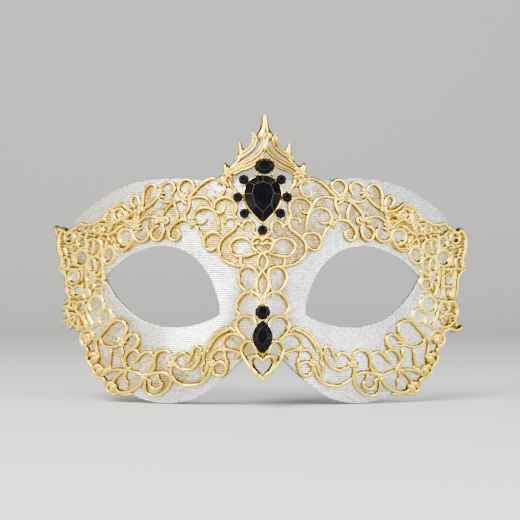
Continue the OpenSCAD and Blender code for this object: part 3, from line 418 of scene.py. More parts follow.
def gold_material(name, light=(0.66, 0.45, 0.014), deep=(0.25, 0.13, 0.002), rough=0.14):
    m, nt, b = nodes_of(name)
    b.inputs["Metallic"].default_value = 1.0
    mp = mapping(nt, (1, 1, 1))
    n1 = add(nt, "ShaderNodeTexNoise", i_Scale=500.0, i_Detail=4.0, i_Roughness=0.6)
    n2 = add(nt, "ShaderNodeTexNoise", i_Scale=90.0, i_Detail=2.0)
    for n in (n1, n2):
        nt.links.new(mp.outputs[0], n.inputs["Vector"])
    at_ = add(nt, "ShaderNodeAttribute", attribute_name="painted_light", attribute_type="GEOMETRY")
    # painted shade and highlight (0 in the recesses, 1 on the crests), shifted a little by the slow noise
    t1 = add(nt, "ShaderNodeMath", operation="MULTIPLY_ADD")
    nt.links.new(n2.outputs["Fac"], t1.inputs[0])
    t1.inputs[1].default_value = 0.30
    nt.links.new(at_.outputs["Fac"], t1.inputs[2])
    t2 = add(nt, "ShaderNodeMath", operation="ADD")
    nt.links.new(t1.outputs[0], t2.inputs[0])
    t2.inputs[1].default_value = -0.15
    # painted light: the darkest stops are painted shade for the recesses, the top stop a painted highlight for the
    # crests
    cr = ramp(nt, t2.outputs[0], [(0.02, tuple(0.62 * c for c in deep)), (0.30, deep), (0.74, light), (1.0, (0.93, 0.71, 0.07))])
    nt.links.new(cr.outputs["Color"], b.inputs["Base Color"])
    rr = add(nt, "ShaderNodeMapRange")
    rr.inputs["To Min"].default_value = rough - 0.06
    rr.inputs["To Max"].default_value = rough + 0.14
    nt.links.new(n1.outputs["Fac"], rr.inputs["Value"])
    nt.links.new(rr.outputs[0], b.inputs["Roughness"])
    bu2 = add(nt, "ShaderNodeBump", i_Strength=0.06, i_Distance=0.0001)
    nt.links.new(n1.outputs["Fac"], bu2.inputs["Height"])
    nt.links.new(bu2.outputs[0], b.inputs["Normal"])
    return m


def cloth_material():
    m, nt, b = nodes_of("metallic_cloth")
    mp = mapping(nt, (1, 1, 1))
    # fine horizontal ribs, 0.8 mm apart, a little uneven
    wob = add(nt, "ShaderNodeTexNoise", i_Scale=45.0, i_Detail=2.0)
    nt.links.new(mp.outputs[0], wob.inputs["Vector"])
    sep = add(nt, "ShaderNodeSeparateXYZ")
    nt.links.new(mp.outputs[0], sep.inputs[0])
    z = add(nt, "ShaderNodeMath", operation="MULTIPLY_ADD")
    nt.links.new(wob.outputs["Fac"], z.inputs[0])
    z.inputs[1].default_value = 0.0011
    nt.links.new(sep.outputs["Z"], z.inputs[2])
    fr = add(nt, "ShaderNodeMath", operation="MULTIPLY")
    nt.links.new(z.outputs[0], fr.inputs[0])
    fr.inputs[1].default_value = 2 * math.pi / 0.0008
    si = add(nt, "ShaderNodeMath", operation="SINE")
    nt.links.new(fr.outputs[0], si.inputs[0])
    # crossing threads along the ribs
    mx = mapping(nt, (1100, 1100, 2200))
    th = add(nt, "ShaderNodeTexVoronoi", i_Scale=1.0)
    nt.links.new(mx.outputs[0], th.inputs["Vector"])
    mg = mapping(nt, (1500, 1500, 2100))
    gl = add(nt, "ShaderNodeTexVoronoi", i_Scale=1.0)
    nt.links.new(mg.outputs[0], gl.inputs["Vector"])
    big = add(nt, "ShaderNodeTexNoise", i_Scale=30.0, i_Detail=4.0)
    nt.links.new(mp.outputs[0], big.inputs["Vector"])
    # colour: silver, with painted shade darkening it between the ribs, and bright flecks
    base = ramp(nt, big.outputs["Fac"], [(0.32, (0.66, 0.67, 0.65)), (0.62, (0.95, 0.96, 0.94))])
    rib_valley_shade = add(nt, "ShaderNodeMapRange")
    rib_valley_shade.inputs["From Min"].default_value = -1
    rib_valley_shade.inputs["To Min"].default_value = 0.60
    rib_valley_shade.inputs["To Max"].default_value = 1.16
    nt.links.new(si.outputs[0], rib_valley_shade.inputs["Value"])
    mul = add(nt, "ShaderNodeMix", data_type="RGBA", blend_type="MULTIPLY")
    mul.inputs[0].default_value = 1.0
    nt.links.new(base.outputs["Color"], mul.inputs[6])
    nt.links.new(rib_valley_shade.outputs[0], mul.inputs[7])
    sepc = add(nt, "ShaderNodeSeparateColor")
    nt.links.new(gl.outputs["Color"], sepc.inputs[0])
    fleck = ramp(nt, sepc.outputs[0], [(0.0, (0.52, 0.52, 0.52)), (0.35, (0.84, 0.84, 0.84)), (0.7, (1.0, 1.0, 1.0)), (0.94, (1.4, 1.4, 1.37))])
    mul2 = add(nt, "ShaderNodeMix", data_type="RGBA", blend_type="MULTIPLY")
    mul2.inputs[0].default_value = 1.0
    nt.links.new(mul.outputs[2], mul2.inputs[6])
    nt.links.new(fleck.outputs["Color"], mul2.inputs[7])
    # painted reflection and shade: the gold lies close, and its colour is multiplied into the cloth between its wires
    wm = add(nt, "ShaderNodeAttribute", attribute_name="painted_gold_reflection", attribute_type="GEOMETRY")
    mul3 = add(nt, "ShaderNodeMix", data_type="RGBA", blend_type="MULTIPLY")
    nt.links.new(wm.outputs["Fac"], mul3.inputs[0])
    nt.links.new(mul2.outputs[2], mul3.inputs[6])
    # the gold colour of the painted reflection, which also darkens the cloth
    mul3.inputs[7].default_value = (0.50, 0.325, 0.045, 1)
    nt.links.new(mul3.outputs[2], b.inputs["Base Color"])
    b.inputs["Metallic"].default_value = 1.0
    ro = add(nt, "ShaderNodeMapRange")
    ro.inputs["To Min"].default_value = 0.24
    ro.inputs["To Max"].default_value = 0.40
    nt.links.new(sepc.outputs[1], ro.inputs["Value"])
    nt.links.new(ro.outputs[0], b.inputs["Roughness"])
    b.inputs["Sheen Weight"].default_value = 0.06
    b.inputs["Sheen Roughness"].default_value = 0.4
    b1 = add(nt, "ShaderNodeBump", i_Strength=0.55, i_Distance=0.00012)
    nt.links.new(si.outputs[0], b1.inputs["Height"])
    b2 = add(nt, "ShaderNodeBump", i_Strength=0.6, i_Distance=0.00010)
    nt.links.new(th.outputs["Distance"], b2.inputs["Height"])
    nt.links.new(b1.outputs[0], b2.inputs["Normal"])
    b3 = add(nt, "ShaderNodeBump", i_Strength=0.4, i_Distance=0.0008)
    nt.links.new(big.outputs["Fac"], b3.inputs["Height"])
    nt.links.new(b2.outputs[0], b3.inputs["Normal"])
    nt.links.new(b3.outputs[0], b.inputs["Normal"])
    return m


def lining_material():
    m, nt, b = nodes_of("lining_felt")
    mp = mapping(nt, (1, 1, 1))
    n1 = add(nt, "ShaderNodeTexNoise", i_Scale=900.0, i_Detail=6.0, i_Roughness=0.75)
    n2 = add(nt, "ShaderNodeTexNoise", i_Scale=55.0, i_Detail=3.0)
    for n in (n1, n2):
        nt.links.new(mp.outputs[0], n.inputs["Vector"])
    add_ = add(nt, "ShaderNodeMath", operation="MULTIPLY_ADD")
    nt.links.new(n2.outputs["Fac"], add_.inputs[0])
    add_.inputs[1].default_value = 0.5
    nt.links.new(n1.outputs["Fac"], add_.inputs[2])
    c = ramp(nt, add_.outputs[0], [(0.45, (0.012, 0.012, 0.014)), (0.95, (0.055, 0.054, 0.058))])
    nt.links.new(c.outputs["Color"], b.inputs["Base Color"])
    b.inputs["Roughness"].default_value = 0.95
    b.inputs["Sheen Weight"].default_value = 0.6
    b.inputs["Sheen Roughness"].default_value = 0.5
    bu = add(nt, "ShaderNodeBump", i_Strength=0.7, i_Distance=0.00025)
    nt.links.new(n1.outputs["Fac"], bu.inputs["Height"])
    nt.links.new(bu.outputs[0], b.inputs["Normal"])
    return m


def stone_material():
    m, nt, b = nodes_of("black_stone")
    mp = mapping(nt, (1, 1, 1))
    n1 = add(nt, "ShaderNodeTexNoise", i_Scale=300.0, i_Detail=5.0)
    nt.links.new(mp.outputs[0], n1.inputs["Vector"])
    c = ramp(nt, n1.outputs["Fac"], [(0.3, (0.0012, 0.0012, 0.0015)), (0.8, (0.004, 0.004, 0.005))])
    # painted highlight: the thin bevel faces along the facet edges are mixed to a lighter grey
    wa = add(nt, "ShaderNodeAttribute", attribute_name="painted_edge_highlight", attribute_type="GEOMETRY")
    mx = add(nt, "ShaderNodeMix", data_type="RGBA")
    nt.links.new(wa.outputs["Fac"], mx.inputs[0])
    nt.links.new(c.outputs["Color"], mx.inputs[6])
    mx.inputs[7].default_value = (0.035, 0.035, 0.037, 1)
    nt.links.new(mx.outputs[2], b.inputs["Base Color"])
    r = add(nt, "ShaderNodeMapRange")
    r.inputs["To Min"].default_value = 0.03
    r.inputs["To Max"].default_value = 0.12
    nt.links.new(n1.outputs["Fac"], r.inputs["Value"])
    nt.links.new(r.outputs[0], b.inputs["Roughness"])
    b.inputs["IOR"].default_value = 1.4
    b.inputs["Specular IOR Level"].default_value = 0.055
    return m


def plastic_material():
    m, nt, b = nodes_of("shell_plastic")
    mp = mapping(nt, (1, 1, 1))
    n1 = add(nt, "ShaderNodeTexNoise", i_Scale=200.0, i_Detail=4.0)
    nt.links.new(mp.outputs[0], n1.inputs["Vector"])
    c = ramp(nt, n1.outputs["Fac"], [(0.2, (0.60, 0.60, 0.58)), (0.9, (0.70, 0.70, 0.68))])
    nt.links.new(c.outputs["Color"], b.inputs["Base Color"])
    b.inputs["Roughness"].default_value = 0.6
    return m


GOLD = gold_material("gold_casting")
GOLD_DEEP = gold_material("gold_scroll", light=(0.64, 0.435, 0.013), deep=(0.23, 0.118, 0.002), rough=0.15)
EYELET = gold_material("eyelet_brass", light=(0.90, 0.62, 0.10), deep=(0.5, 0.29, 0.03), rough=0.26)
CLOTHM = cloth_material()
LINING = lining_material()
STONE = stone_material()
PLASTIC = plastic_material()

# ---------------------------------------------------------------- shell, cloth, lining
HUB = np.array([101.0, 4.0])


def loop_radius(loop, th):
    """Distance from the hub to a closed loop, along each angle."""
    a = loop - HUB
    b = np.roll(loop, -1, 0) - HUB
    d = np.stack([np.cos(th), np.sin(th)], -1)
    e = b - a
    q = d[:, None, 0] * e[None, :, 1] - d[:, None, 1] * e[None, :, 0]
    q = np.where(np.abs(q) < 1e-12, 1e-12, q)
    s = (a[None, :, 0] * e[None, :, 1] - a[None, :, 1] * e[None, :, 0]) / q
    t = (a[None, :, 0] * d[:, None, 1] - a[None, :, 1] * d[:, None, 0]) / q
    ok = (s > 0) & (t >= -1e-9) & (t <= 1 + 1e-9)
    return np.where(ok, s, -1).max(1)


rim = [p for p in EDGE if p[0] > 0]
side = spline([[-rim[0][0], rim[0][1]], [0, 110]] + rim + [[0, -62.5], [-10, -63.5]], step=1.0)
i0 = int(np.argmin(np.hypot(side[:, 0], side[:, 1] - 110)))
i1 = int(np.argmin(np.hypot(side[:, 0], side[:, 1] + 62.5)))
side = side[i0:i1 + 1]
side[0], side[-1] = (0, 110), (0, -62.5)
seam = np.stack([np.zeros(84), np.linspace(-62.5, 110, 86)[1:-1]], -1)
outer = np.vstack([side, seam])
k_in = [i for i, p in enumerate(EYE) if p == [42.5, -25]][0]
upper = spline(EYE[:k_in + 1], step=1.0)
lower = spline(EYE[k_in:] + [EYE[0]], step=1.0)
inner_loop = np.vstack([upper, lower[1:-1]])

ang = np.arctan2(outer[:, 1] - HUB[1], outer[:, 0] - HUB[0])
extra = [math.atan2(p[1] - HUB[1], p[0] - HUB[0]) for p in ([158.5, 12], [42.5, -25])]
th = np.sort(np.concatenate([ang, extra]))[::-1]
th = th[np.concatenate([[True], np.abs(np.diff(th)) > 1e-4])]
r_out, r_in = loop_radius(outer, th), loop_radius(inner_loop, th)
dirs = np.stack([np.cos(th), np.sin(th)], -1)
Q = HUB + dirs * r_out[:, None]
E = HUB + dirs * r_in[:, None]
on_seam = Q[:, 0] < 1e-4
# start the loop at the top of the centre line
start = int(np.argmin(np.hypot(Q[:, 0], Q[:, 1] - 110)))
Q, E, on_seam = np.roll(Q, -start, 0), np.roll(E, -start, 0), np.roll(on_seam, -start)
Q[on_seam, 0] = 0
NS = len(Q)
end = int(np.argmin(np.hypot(Q[:, 0], Q[:, 1] + 62.5)))    # last station of the outer edge


def sheet_grid(rows, lo=0.0, hi=0.0, h=0.0, every=1):
    """Points of the right half: stations x rows, lo and hi pull the sheet in
    from the eye and from the outer edge (grid squares), h in mm or a function."""
    idx = np.arange(0, NS, every)
    q, e, sm = Q[idx], E[idx], on_seam[idx]
    d = q - e
    L = np.linalg.norm(d, axis=1, keepdims=True)
    d = d / L
    e2 = e + d * lo
    q2 = np.where(sm[:, None], q, q - d * hi)
    q2[sm, 1] = np.clip(q2[sm, 1], -62.5 + hi, 110 - hi)
    t = 0.5 - 0.5 * np.cos(np.linspace(0, math.pi, rows))
    t = 0.55 * t + 0.45 * np.linspace(0, 1, rows)
    P = e2[:, None] * (1 - t)[None, :, None] + q2[:, None] * t[None, :, None]
    u, v = P[..., 0] * G, P[..., 1] * G
    edge_mm = np.minimum(t[None, :] * L * G, np.where(sm[:, None], 99.0, (1 - t)[None, :] * L * G))
    hh = h(edge_mm) if callable(h) else np.full(u.shape, h)
    return lift(u, v, hh), idx


EYELET_GX, EYELET_GY = 185.5, -13.0
eye_c = at(np.array(EYELET_GX * G), np.array(EYELET_GY * G))
eye_n = out(np.array(EYELET_GX * G), np.array(EYELET_GY * G))


def near_hole(c, r):
    d = c * np.array([1, 1, 1]) - eye_c
    d = np.where(c[..., :1] < 0, c * np.array([-1, 1, 1]) - eye_c, d)
    ax = (d * eye_n).sum(-1)
    rad = np.sqrt(np.maximum((d ** 2).sum(-1) - ax ** 2, 0))
    return (rad < r) & (np.abs(ax) < 6)


def close_grid(P, flip=False, hole=None):
    """Quads of both halves of a sheet, joined on the centre line."""
    n, m = P.shape[:2]
    R = P.reshape(-1, 3)
    Lh = R * np.array([-1, 1, 1])
    V = np.vstack([R, Lh])
    sm = np.abs(P[:, -1, 0]) < 1e-6

    def vid(s, i, j):
        i %= n
        return (0 if (j == m - 1 and sm[i]) else s) * n * m + i * m + j
    F = []
    for s in (0, 1):
        for i in range(n):
            for j in range(m - 1):
                f = (vid(s, i, j), vid(s, i + 1, j), vid(s, i + 1, j + 1), vid(s, i, j + 1))
                if (s == 1) != flip:
                    f = f[::-1]
                F.append(f)
    if hole:
        c = V[np.array(F)].mean(1)
        keep = ~near_hole(c, hole)
        F = [f for f, k in zip(F, keep) if k]
    return V, F, vid


def edge_strip(st, ring, normals, dirs_, prof, closed):
    """A turned edge: the profile's steps are (outward, inward) in mm from the ring."""
    rows = [ring + dirs_ * a + normals * b for a, b in prof]
    n = len(ring)
    V = np.vstack(rows)
    F = []
    for k in range(len(rows) - 1):
        for i in range(n if closed else n - 1):
            i2 = (i + 1) % n
            F.append((k * n + i, k * n + i2, (k + 1) * n + i2, (k + 1) * n + i))
    st.add(V, F)


def rings(h):
    """Outer ring (whole mask) and the two eye rings at height h, with normals
    and outward directions, in order."""
    oq = Q[:end + 1]
    u, v = oq[:, 0] * G, oq[:, 1] * G
    p, n = lift(u, v, np.full(len(u), h)), out(u, v)
    P = np.vstack([p, (p * [-1, 1, 1])[::-1][1:-1]])
    N = np.vstack([n, (n * [-1, 1, 1])[::-1][1:-1]])
    T = np.roll(P, -1, 0) - np.roll(P, 1, 0)
    D = np.cross(N, T)
    D /= np.linalg.norm(D, axis=1, keepdims=True)
    c = P.mean(0)
    if ((D * (P - c)).sum(1)).mean() < 0:
        D = -D
    eu, ev = E[:, 0] * G, E[:, 1] * G
    ep, en = lift(eu, ev, np.full(len(eu), h)), out(eu, ev)
    T = np.roll(ep, -1, 0) - np.roll(ep, 1, 0)
    ed = np.cross(en, T)
    ed /= np.linalg.norm(ed, axis=1, keepdims=True)
    if ((ed * (ep - ep.mean(0))).sum(1)).mean() > 0:
        ed = -ed
    return (P, N, D), (ep, en, ed)


def smooth_dirs(D, k=6):
    for _ in range(k):
        D = (np.roll(D, 1, 0) + D + np.roll(D, -1, 0)) / 3
    return D / np.linalg.norm(D, axis=1, keepdims=True)


def weld(ob, d=0.00002):
    import bmesh
    bm = bmesh.new()
    bm.from_mesh(ob.data)
    bmesh.ops.remove_doubles(bm, verts=bm.verts, dist=d)
    bmesh.ops.recalc_face_normals(bm, faces=bm.faces)
    bm.to_mesh(ob.data)
    bm.free()
    ob.data.polygons.foreach_set("use_smooth", [True] * len(ob.data.polygons))


# the cloth: front, turned over the outer edge and the eye edges onto the back
cloth = Stock()
P, _ = sheet_grid(44, h=FRONT)
V, F, _ = close_grid(P, hole=2.5)
cloth.add(V, F)
turn = [(0, 0), (0.12, -0.05), (0.24, -0.2), (0.31, -0.45), (0.33, -1.0), (0.33, -1.6), (0.26, -1.95),
        (0.12, -2.13), (-0.2, -2.2), (-1.6, -2.22), (-3.4, -2.22), (-5.0, -2.2)]
(po, no, do), (pe, ne, de) = rings(FRONT)
do, de = smooth_dirs(do), smooth_dirs(de, 3)
edge_strip(cloth, po, no, do, turn, True)
turn_eye = [(a if a > 0 else a * 0.62, b) for a, b in turn]
edge_strip(cloth, pe, ne, de, turn_eye, True)
eye2 = Stock()
edge_strip(eye2, pe * [-1, 1, 1], ne * [-1, 1, 1], de * [-1, 1, 1], turn_eye, True)
cloth.join(eye2)
cloth_ob = piece("face_cloth_sheet", cloth, CLOTHM, ["face_fabric"])
weld(cloth_ob)

# the shell between the two cloths
shell = Stock()
P1, _ = sheet_grid(18, h=SHELL, every=2, lo=0.2, hi=0.2)
P2, _ = sheet_grid(18, h=0.02, every=2, lo=0.2, hi=0.2)
V, F, vid = close_grid(P1, hole=2.6)
V2, F2, _ = close_grid(P2, flip=True, hole=2.6)
nv = len(V)
shell.add(np.vstack([V, V2]), F + [tuple(i + nv for i in f) for f in F2])
n_, m_ = P1.shape[:2]
sm_ = np.abs(P1[:, -1, 0]) < 1e-6
walls = []
for s_ in (0, 1):
    for i in range(n_):
        for j in (0, m_ - 1):
            if j and sm_[i] and sm_[(i + 1) % n_]:
                continue
            a_, b_ = vid(s_, i, j), vid(s_, i + 1, j)
            walls.append((a_, b_, b_ + nv, a_ + nv))
shell.f += walls
shell_ob = piece("moulded_shell", shell, PLASTIC, ["shell_core"])
weld(shell_ob, 1e-6)

# the lining: a soft sheet that stops just short of the edges and rises over
# the cloth's turned margin
lin = Stock()
rise = lambda e: -0.72 - 0.42 * np.clip(1 - (e - 3.0) / 2.2, 0, 1) ** 1.5 * np.clip(e / 0.5, 0, 1)
LO, HI = 3.2, 3.0
Pb, _ = sheet_grid(40, h=rise, lo=LO, hi=HI)
V, F, vid = close_grid(Pb, flip=True, hole=2.5)
lin.add(V, F)
n_, m_ = Pb.shape[:2]
# rounded rim down to the cloth
Pr, _ = sheet_grid(2, h=-0.16, lo=LO - 1.2, hi=HI - 1.2)
Pm, _ = sheet_grid(2, h=-0.5, lo=LO - 1.0, hi=HI - 1.0)
for s_ in (1, -1):
    sc = np.array([s_, 1, 1])
    for col, ring_idx in ((0, np.arange(NS)), (1, np.arange(end + 1))):
        a0 = Pb[:, 0 if col == 0 else -1][ring_idx] * sc
        a1 = Pm[:, 0 if col == 0 else -1][ring_idx] * sc
        a2 = Pr[:, 0 if col == 0 else -1][ring_idx] * sc
        n = len(ring_idx)
        V = np.vstack([a0, a1, a2])
        F = []
        for k in range(2):
            for i in range(n if col == 0 else n - 1):
                i2 = (i + 1) % n
                F.append((k * n + i, k * n + i2, (k + 1) * n + i2, (k + 1) * n + i))
        lin.add(V, F)
lin_ob = piece("lining_sheet", lin, LINING, ["back_lining"])
weld(lin_ob)

# ---------------------------------------------------------------- filigree
def ring_path(cx, cy, rx, ry, n=14, turn_=0.0):
    a = np.linspace(0, 2 * math.pi, n + 1)[:-1] + turn_
    return np.stack([cx + rx * np.cos(a), cy + ry * np.sin(a)], -1).tolist()


def scrolls(stock, lists, w=4.4, h=3.5, jitter=0.12, closed_tol=2.2, bulbs=True):
    for p in lists:
        closed = len(p) > 5 and math.hypot(p[0][0] - p[-1][0], p[0][1] - p[-1][1]) < closed_tol
        base = float(rng.uniform(0, jitter))
        wire(stock, p[:-1] if closed else p, w=w, h=h, closed=closed, base=base)
        if not closed and bulbs:
            for q in (p[0], p[-1]):
                bulb(stock, q[0], q[1], 0.86 * w / 2, h * 0.85, base)


def mirrored(right):
    return right, right.mirror()


# nose chain and medallion
half = Stock()
scrolls(half, MEDALLION_LINES)
claw(half, 37.5, 112, 235, 7.5, 4, 30)
claw(half, 38.5, 111, 300, 6.5, 3, 34)
leaf(half, (42, 114), (33, 102), 6.0, 4.4, base=0.3)
leaf(half, (37, 115), (45.5, 105), 5.6, 4.2, base=0.3)
leaf(half, (37, 117), (28.5, 107), 5.4, 4.2, base=0.3)
leaf(half, (38, 113), (38.5, 100), 5.4, 4.2, base=0.3)
bulb(half, 37.5, 112.5, 2.6, 4.4, 0.2)
med = half
med.join(half.mirror())
piece("medallion_scrolls", med, GOLD, ["medallion_filigree"])

half = Stock()
scrolls(half, NOSE_LINES)
wire(half, HEART_LINE, w=5.0, h=3.8, base=0.1)
for p in ((10, 45), (17, -1), (17.5, -49.5), (23, -25), (20.5, 21.5), (7.5, 36.5)):
    bulb(half, p[0], p[1], 1.5, 2.6, 0.05)
leaf(half, (23, -24.5), (29.5, -31), 3.4, 2.8)
leaf(half, (17.5, -50), (22, -44), 3.2, 2.8)
leaf(half, (12, -2), (8, -9), 3.0, 2.6)
leaf(half, (16, 22.5), (22.5, 27), 3.0, 2.6)
nose_s = half
nose_s.join(half.mirror())
for gy, r in ((36.8, 1.9), (19, 1.8), (-7.8, 2.0), (-70, 2.1), (-88, 1.9), (50.3, 1.8)):
    bulb(nose_s, 0, gy, r, 2.9, 0.1)
piece("nose_scrolls", nose_s, GOLD, ["nose_filigree"])

brow = Stock()
scrolls(brow, BROW_LINES, w=4.1, h=3.4)
for a in ((79.5, 91, 165, 7.5, 4), (103.5, 96, 195, 7, 4), (102.5, 69, 95, 7, 4), (70.5, 65, 110, 6.5, 3), (126.5, 62, 120, 7, 4)):
    claw(brow, *a)
for a, b in (((79, 92), (86, 96)), ((80, 90), (74, 85)), ((104, 95), (110, 90)), ((103, 68), (109, 66)), ((104, 97), (99, 102)),
             ((127, 63), (133, 60)), ((120, 80), (126, 84)), ((137, 72), (132, 76)), ((71, 66), (66, 71)), ((139, 73), (144, 77))):
    leaf(brow, a, b, 5.0, 4.0, 0.08, 0.3)
r_, l_ = mirrored(brow)
piece("brow_scrolls_right", r_, GOLD_DEEP, ["brow_filigree_right"])
piece("brow_scrolls_left", l_, GOLD_DEEP, ["brow_filigree_left"])

def in_polygon(x, y, poly):
    poly = np.array(poly, float)
    a, b = poly, np.roll(poly, -1, 0)
    inside = np.zeros(x.shape, bool)
    for (x0, y0), (x1, y1) in zip(a, b):
        c = (y0 > y) != (y1 > y)
        with np.errstate(divide="ignore", invalid="ignore"):
            inside ^= c & (x < (x1 - x0) * (y - y0) / (y1 - y0 + 1e-12) + x0)
    return inside


def soften(a, k):
    for _ in range(k):
        a = (np.roll(a, 1, 0) + 2 * a + np.roll(a, -1, 0)) / 4
        a = (np.roll(a, 1, 1) + 2 * a + np.roll(a, -1, 1)) / 4
    return a


def relief(stock, box, webs, holes, strands, bumps=(), step=0.42, web_h=0.32, seed=5):
    """Cast lace as one surface over the cloth: webs are filled outlines, holes
    ellipses through them, strands raised wires that run together where they
    meet. All in grid squares, heights in mm."""
    r = np.random.default_rng(seed)
    x0, y0, x1, y1 = box
    X, Y = np.meshgrid(np.arange(x0, x1, step), np.arange(y0, y1, step), indexing="ij")
    H = np.full(X.shape, -0.6)
    for w_ in webs:
        m = in_polygon(X, Y, w_)
        H = np.where(m, web_h, H)
    # petals and beads of the casting, raised on the web
    for (bx, by, bl, bw, ba, bh) in bumps:
        c, s_ = math.cos(ba), math.sin(ba)
        d = ((X - bx) * c + (Y - by) * s_) ** 2 / bl ** 2 + (-(X - bx) * s_ + (Y - by) * c) ** 2 / bw ** 2
        H = np.where(H > 0, np.maximum(H, web_h + bh * np.clip(1.1 - np.sqrt(d), 0, 1) ** 0.75), H)
    for (cx, cy, rx, ry, ro) in holes:
        c, s_ = math.cos(ro), math.sin(ro)
        e = np.sqrt((((X - cx) * c + (Y - cy) * s_) / rx) ** 2 + ((-(X - cx) * s_ + (Y - cy) * c) / ry) ** 2)
        H = np.minimum(H, np.clip((e - 0.92) * min(rx, ry) * 0.75, -0.6, 5))
    S = np.full(X.shape, -0.6)
    for p, w_, h_ in strands:
        closed = len(p) > 4 and math.hypot(p[0][0] - p[-1][0], p[0][1] - p[-1][1]) < 0.6
        q = spline(p[:-1] if closed else p, closed, 0.4)
        n = len(q)
        ph = r.uniform(0, 6.28)
        hh0 = h_ * r.uniform(0.9, 1.12)
        for k, (px, py) in enumerate(q):
            f = 1.0 if closed else min(1.0, 0.55 + min(k, n - 1 - k) * 0.4 / 3.5)
            w2 = w_ / 2 * (f + 0.06 * math.sin(k * 0.16 + ph))
            R = w2 * 1.6
            a0, a1 = max(int((px - R - x0) / step), 0), min(int((px + R - x0) / step) + 2, X.shape[0])
            b0, b1 = max(int((py - R - y0) / step), 0), min(int((py + R - y0) / step) + 2, X.shape[1])
            if a0 >= a1 or b0 >= b1:
                continue
            d = np.hypot(X[a0:a1, b0:b1] - px, Y[a0:a1, b0:b1] - py) / w2
            prof = np.where(d < 1, np.sqrt(np.clip(1 - d * d, 0, 1)) ** 0.9, -(d - 1) * 1.3)
            hh = hh0 * f
            S[a0:a1, b0:b1] = np.maximum(S[a0:a1, b0:b1], np.clip(prof * hh, -0.6, 9))
    H = np.maximum(H, S)
    H = soften(H, 1)
    low = soften(H, 30)
    # painted shade in the low parts, painted highlight on the raised ones; the back below gets painted shade too
    painted_light = np.clip(0.52 + (H - low) / 0.5 + np.clip(H - 0.2, -0.5, 1) * 0.3, 0.16, 1)
    floor_ = -0.32
    keep = H > floor_
    cell = keep[:-1, :-1] | keep[1:, :-1] | keep[:-1, 1:] | keep[1:, 1:]
    used = np.zeros(H.shape, bool)
    for da in (0, 1):
        for db in (0, 1):
            used[da:H.shape[0] - 1 + da, db:H.shape[1] - 1 + db] |= cell
    idx = np.full(H.shape, -1)
    idx[used] = np.arange(used.sum())
    U, V_ = X[used] * G, Y[used] * G
    hh = np.maximum(H[used], floor_)
    n = out(U, V_)
    P_ = lift(U, V_, FRONT + hh) - 0.6 * n * np.array([1.0, 0, 1.0])
    ia, ib = np.nonzero(cell)
    F = np.stack([idx[ia, ib], idx[ia + 1, ib], idx[ia + 1, ib + 1], idx[ia, ib + 1]], -1)
    # a back for what stands out past the edge of the base
    over = X[ia, ib] > 186
    B_ = lift(U, V_, FRONT + np.full(len(hh), floor_)) - 0.6 * n * np.array([1.0, 0, 1.0])
    Fb = F[over][:, ::-1] + len(P_)
    stock.add(np.vstack([P_, B_]), np.vstack([F, Fb]).tolist(), np.concatenate([painted_light[used], np.full(len(B_), 0.15)]))


def px(points):
    """From the squares counted from the drawing's corner to the grid."""
    return [[p[0] - 262.5, 290 - p[1]] for p in points]


def oval(cx, cy, rx, ry, turn_=0.0, n=16):
    a = np.linspace(0, 2 * math.pi, n + 1)
    c, s_ = math.cos(-turn_), math.sin(-turn_)
    return px([[cx + rx * math.cos(t) * c - ry * math.sin(t) * s_, cy + rx * math.cos(t) * s_ + ry * math.sin(t) * c] for t in a])


TEMPLE_WEBS = [
    [[388, 211], [396, 209.5], [400, 206], [404, 204], [409, 206.5], [414, 210], [418, 213.5], [420, 218], [424, 220], [429, 223], [434, 225],
     [440, 225], [445, 224], [449, 227.5], [453, 231], [458, 234], [461, 231], [464, 234], [466, 240], [466, 248], [464.5, 256], [463, 262],
     [465.5, 268.5], [461, 272], [458.5, 278], [458, 288], [455, 301], [446, 301], [438, 299], [433, 297], [428, 291], [424, 286], [421, 281],
     [422, 275], [424, 270], [420, 265], [413, 262], [410, 256], [409, 249], [402, 248], [396, 246], [392, 240], [388, 236]],
    [[438, 302], [446, 300], [455, 302], [458, 307], [458.5, 313], [455.5, 318], [457, 322], [457, 327], [452, 328.5], [446, 329.5], [441, 331],
     [438, 326], [437, 318], [437, 310]]]
TEMPLE_HOLES = [  # middle, half width, half height, turn
    [398.5, 236.5, 5.2, 5.6, 0], [416, 255, 3.6, 6.0, 0.25], [428, 249.5, 3.0, 5.4, 0], [434.3, 246, 2.8, 4.6, -0.2], [443, 257.8, 5.0, 6.0, 0],
    [443, 242, 2.6, 4.2, 0], [455, 237.5, 2.8, 3.7, 0], [459, 263, 2.3, 4.2, 0], [432, 263, 3.2, 4.8, 0.2], [426, 268, 2.5, 4.3, 0],
    [434, 277, 2.9, 3.8, 0], [426, 283.3, 3.8, 3.2, 0], [402, 215, 2.2, 2.1, 0], [416, 218, 2.6, 2.4, 0], [427, 229.5, 2.3, 2.2, 0],
    [418, 229, 1.8, 1.7, 0], [448, 236, 1.9, 2.3, 0], [438.6, 293, 2.4, 5.2, -0.2], [444, 307, 3.3, 3.3, 0], [449.3, 280, 2.0, 4.2, 0],
    [448.6, 294, 1.9, 5.2, 0], [397, 226.5, 2.2, 1.7, 0], [409, 226, 1.7, 1.5, 0], [453.5, 251, 1.6, 1.8, 0], [436.5, 231.5, 1.7, 2.0, 0],
    [447, 323, 2.0, 1.8, 0], [454, 308.5, 1.4, 1.8, 0]]
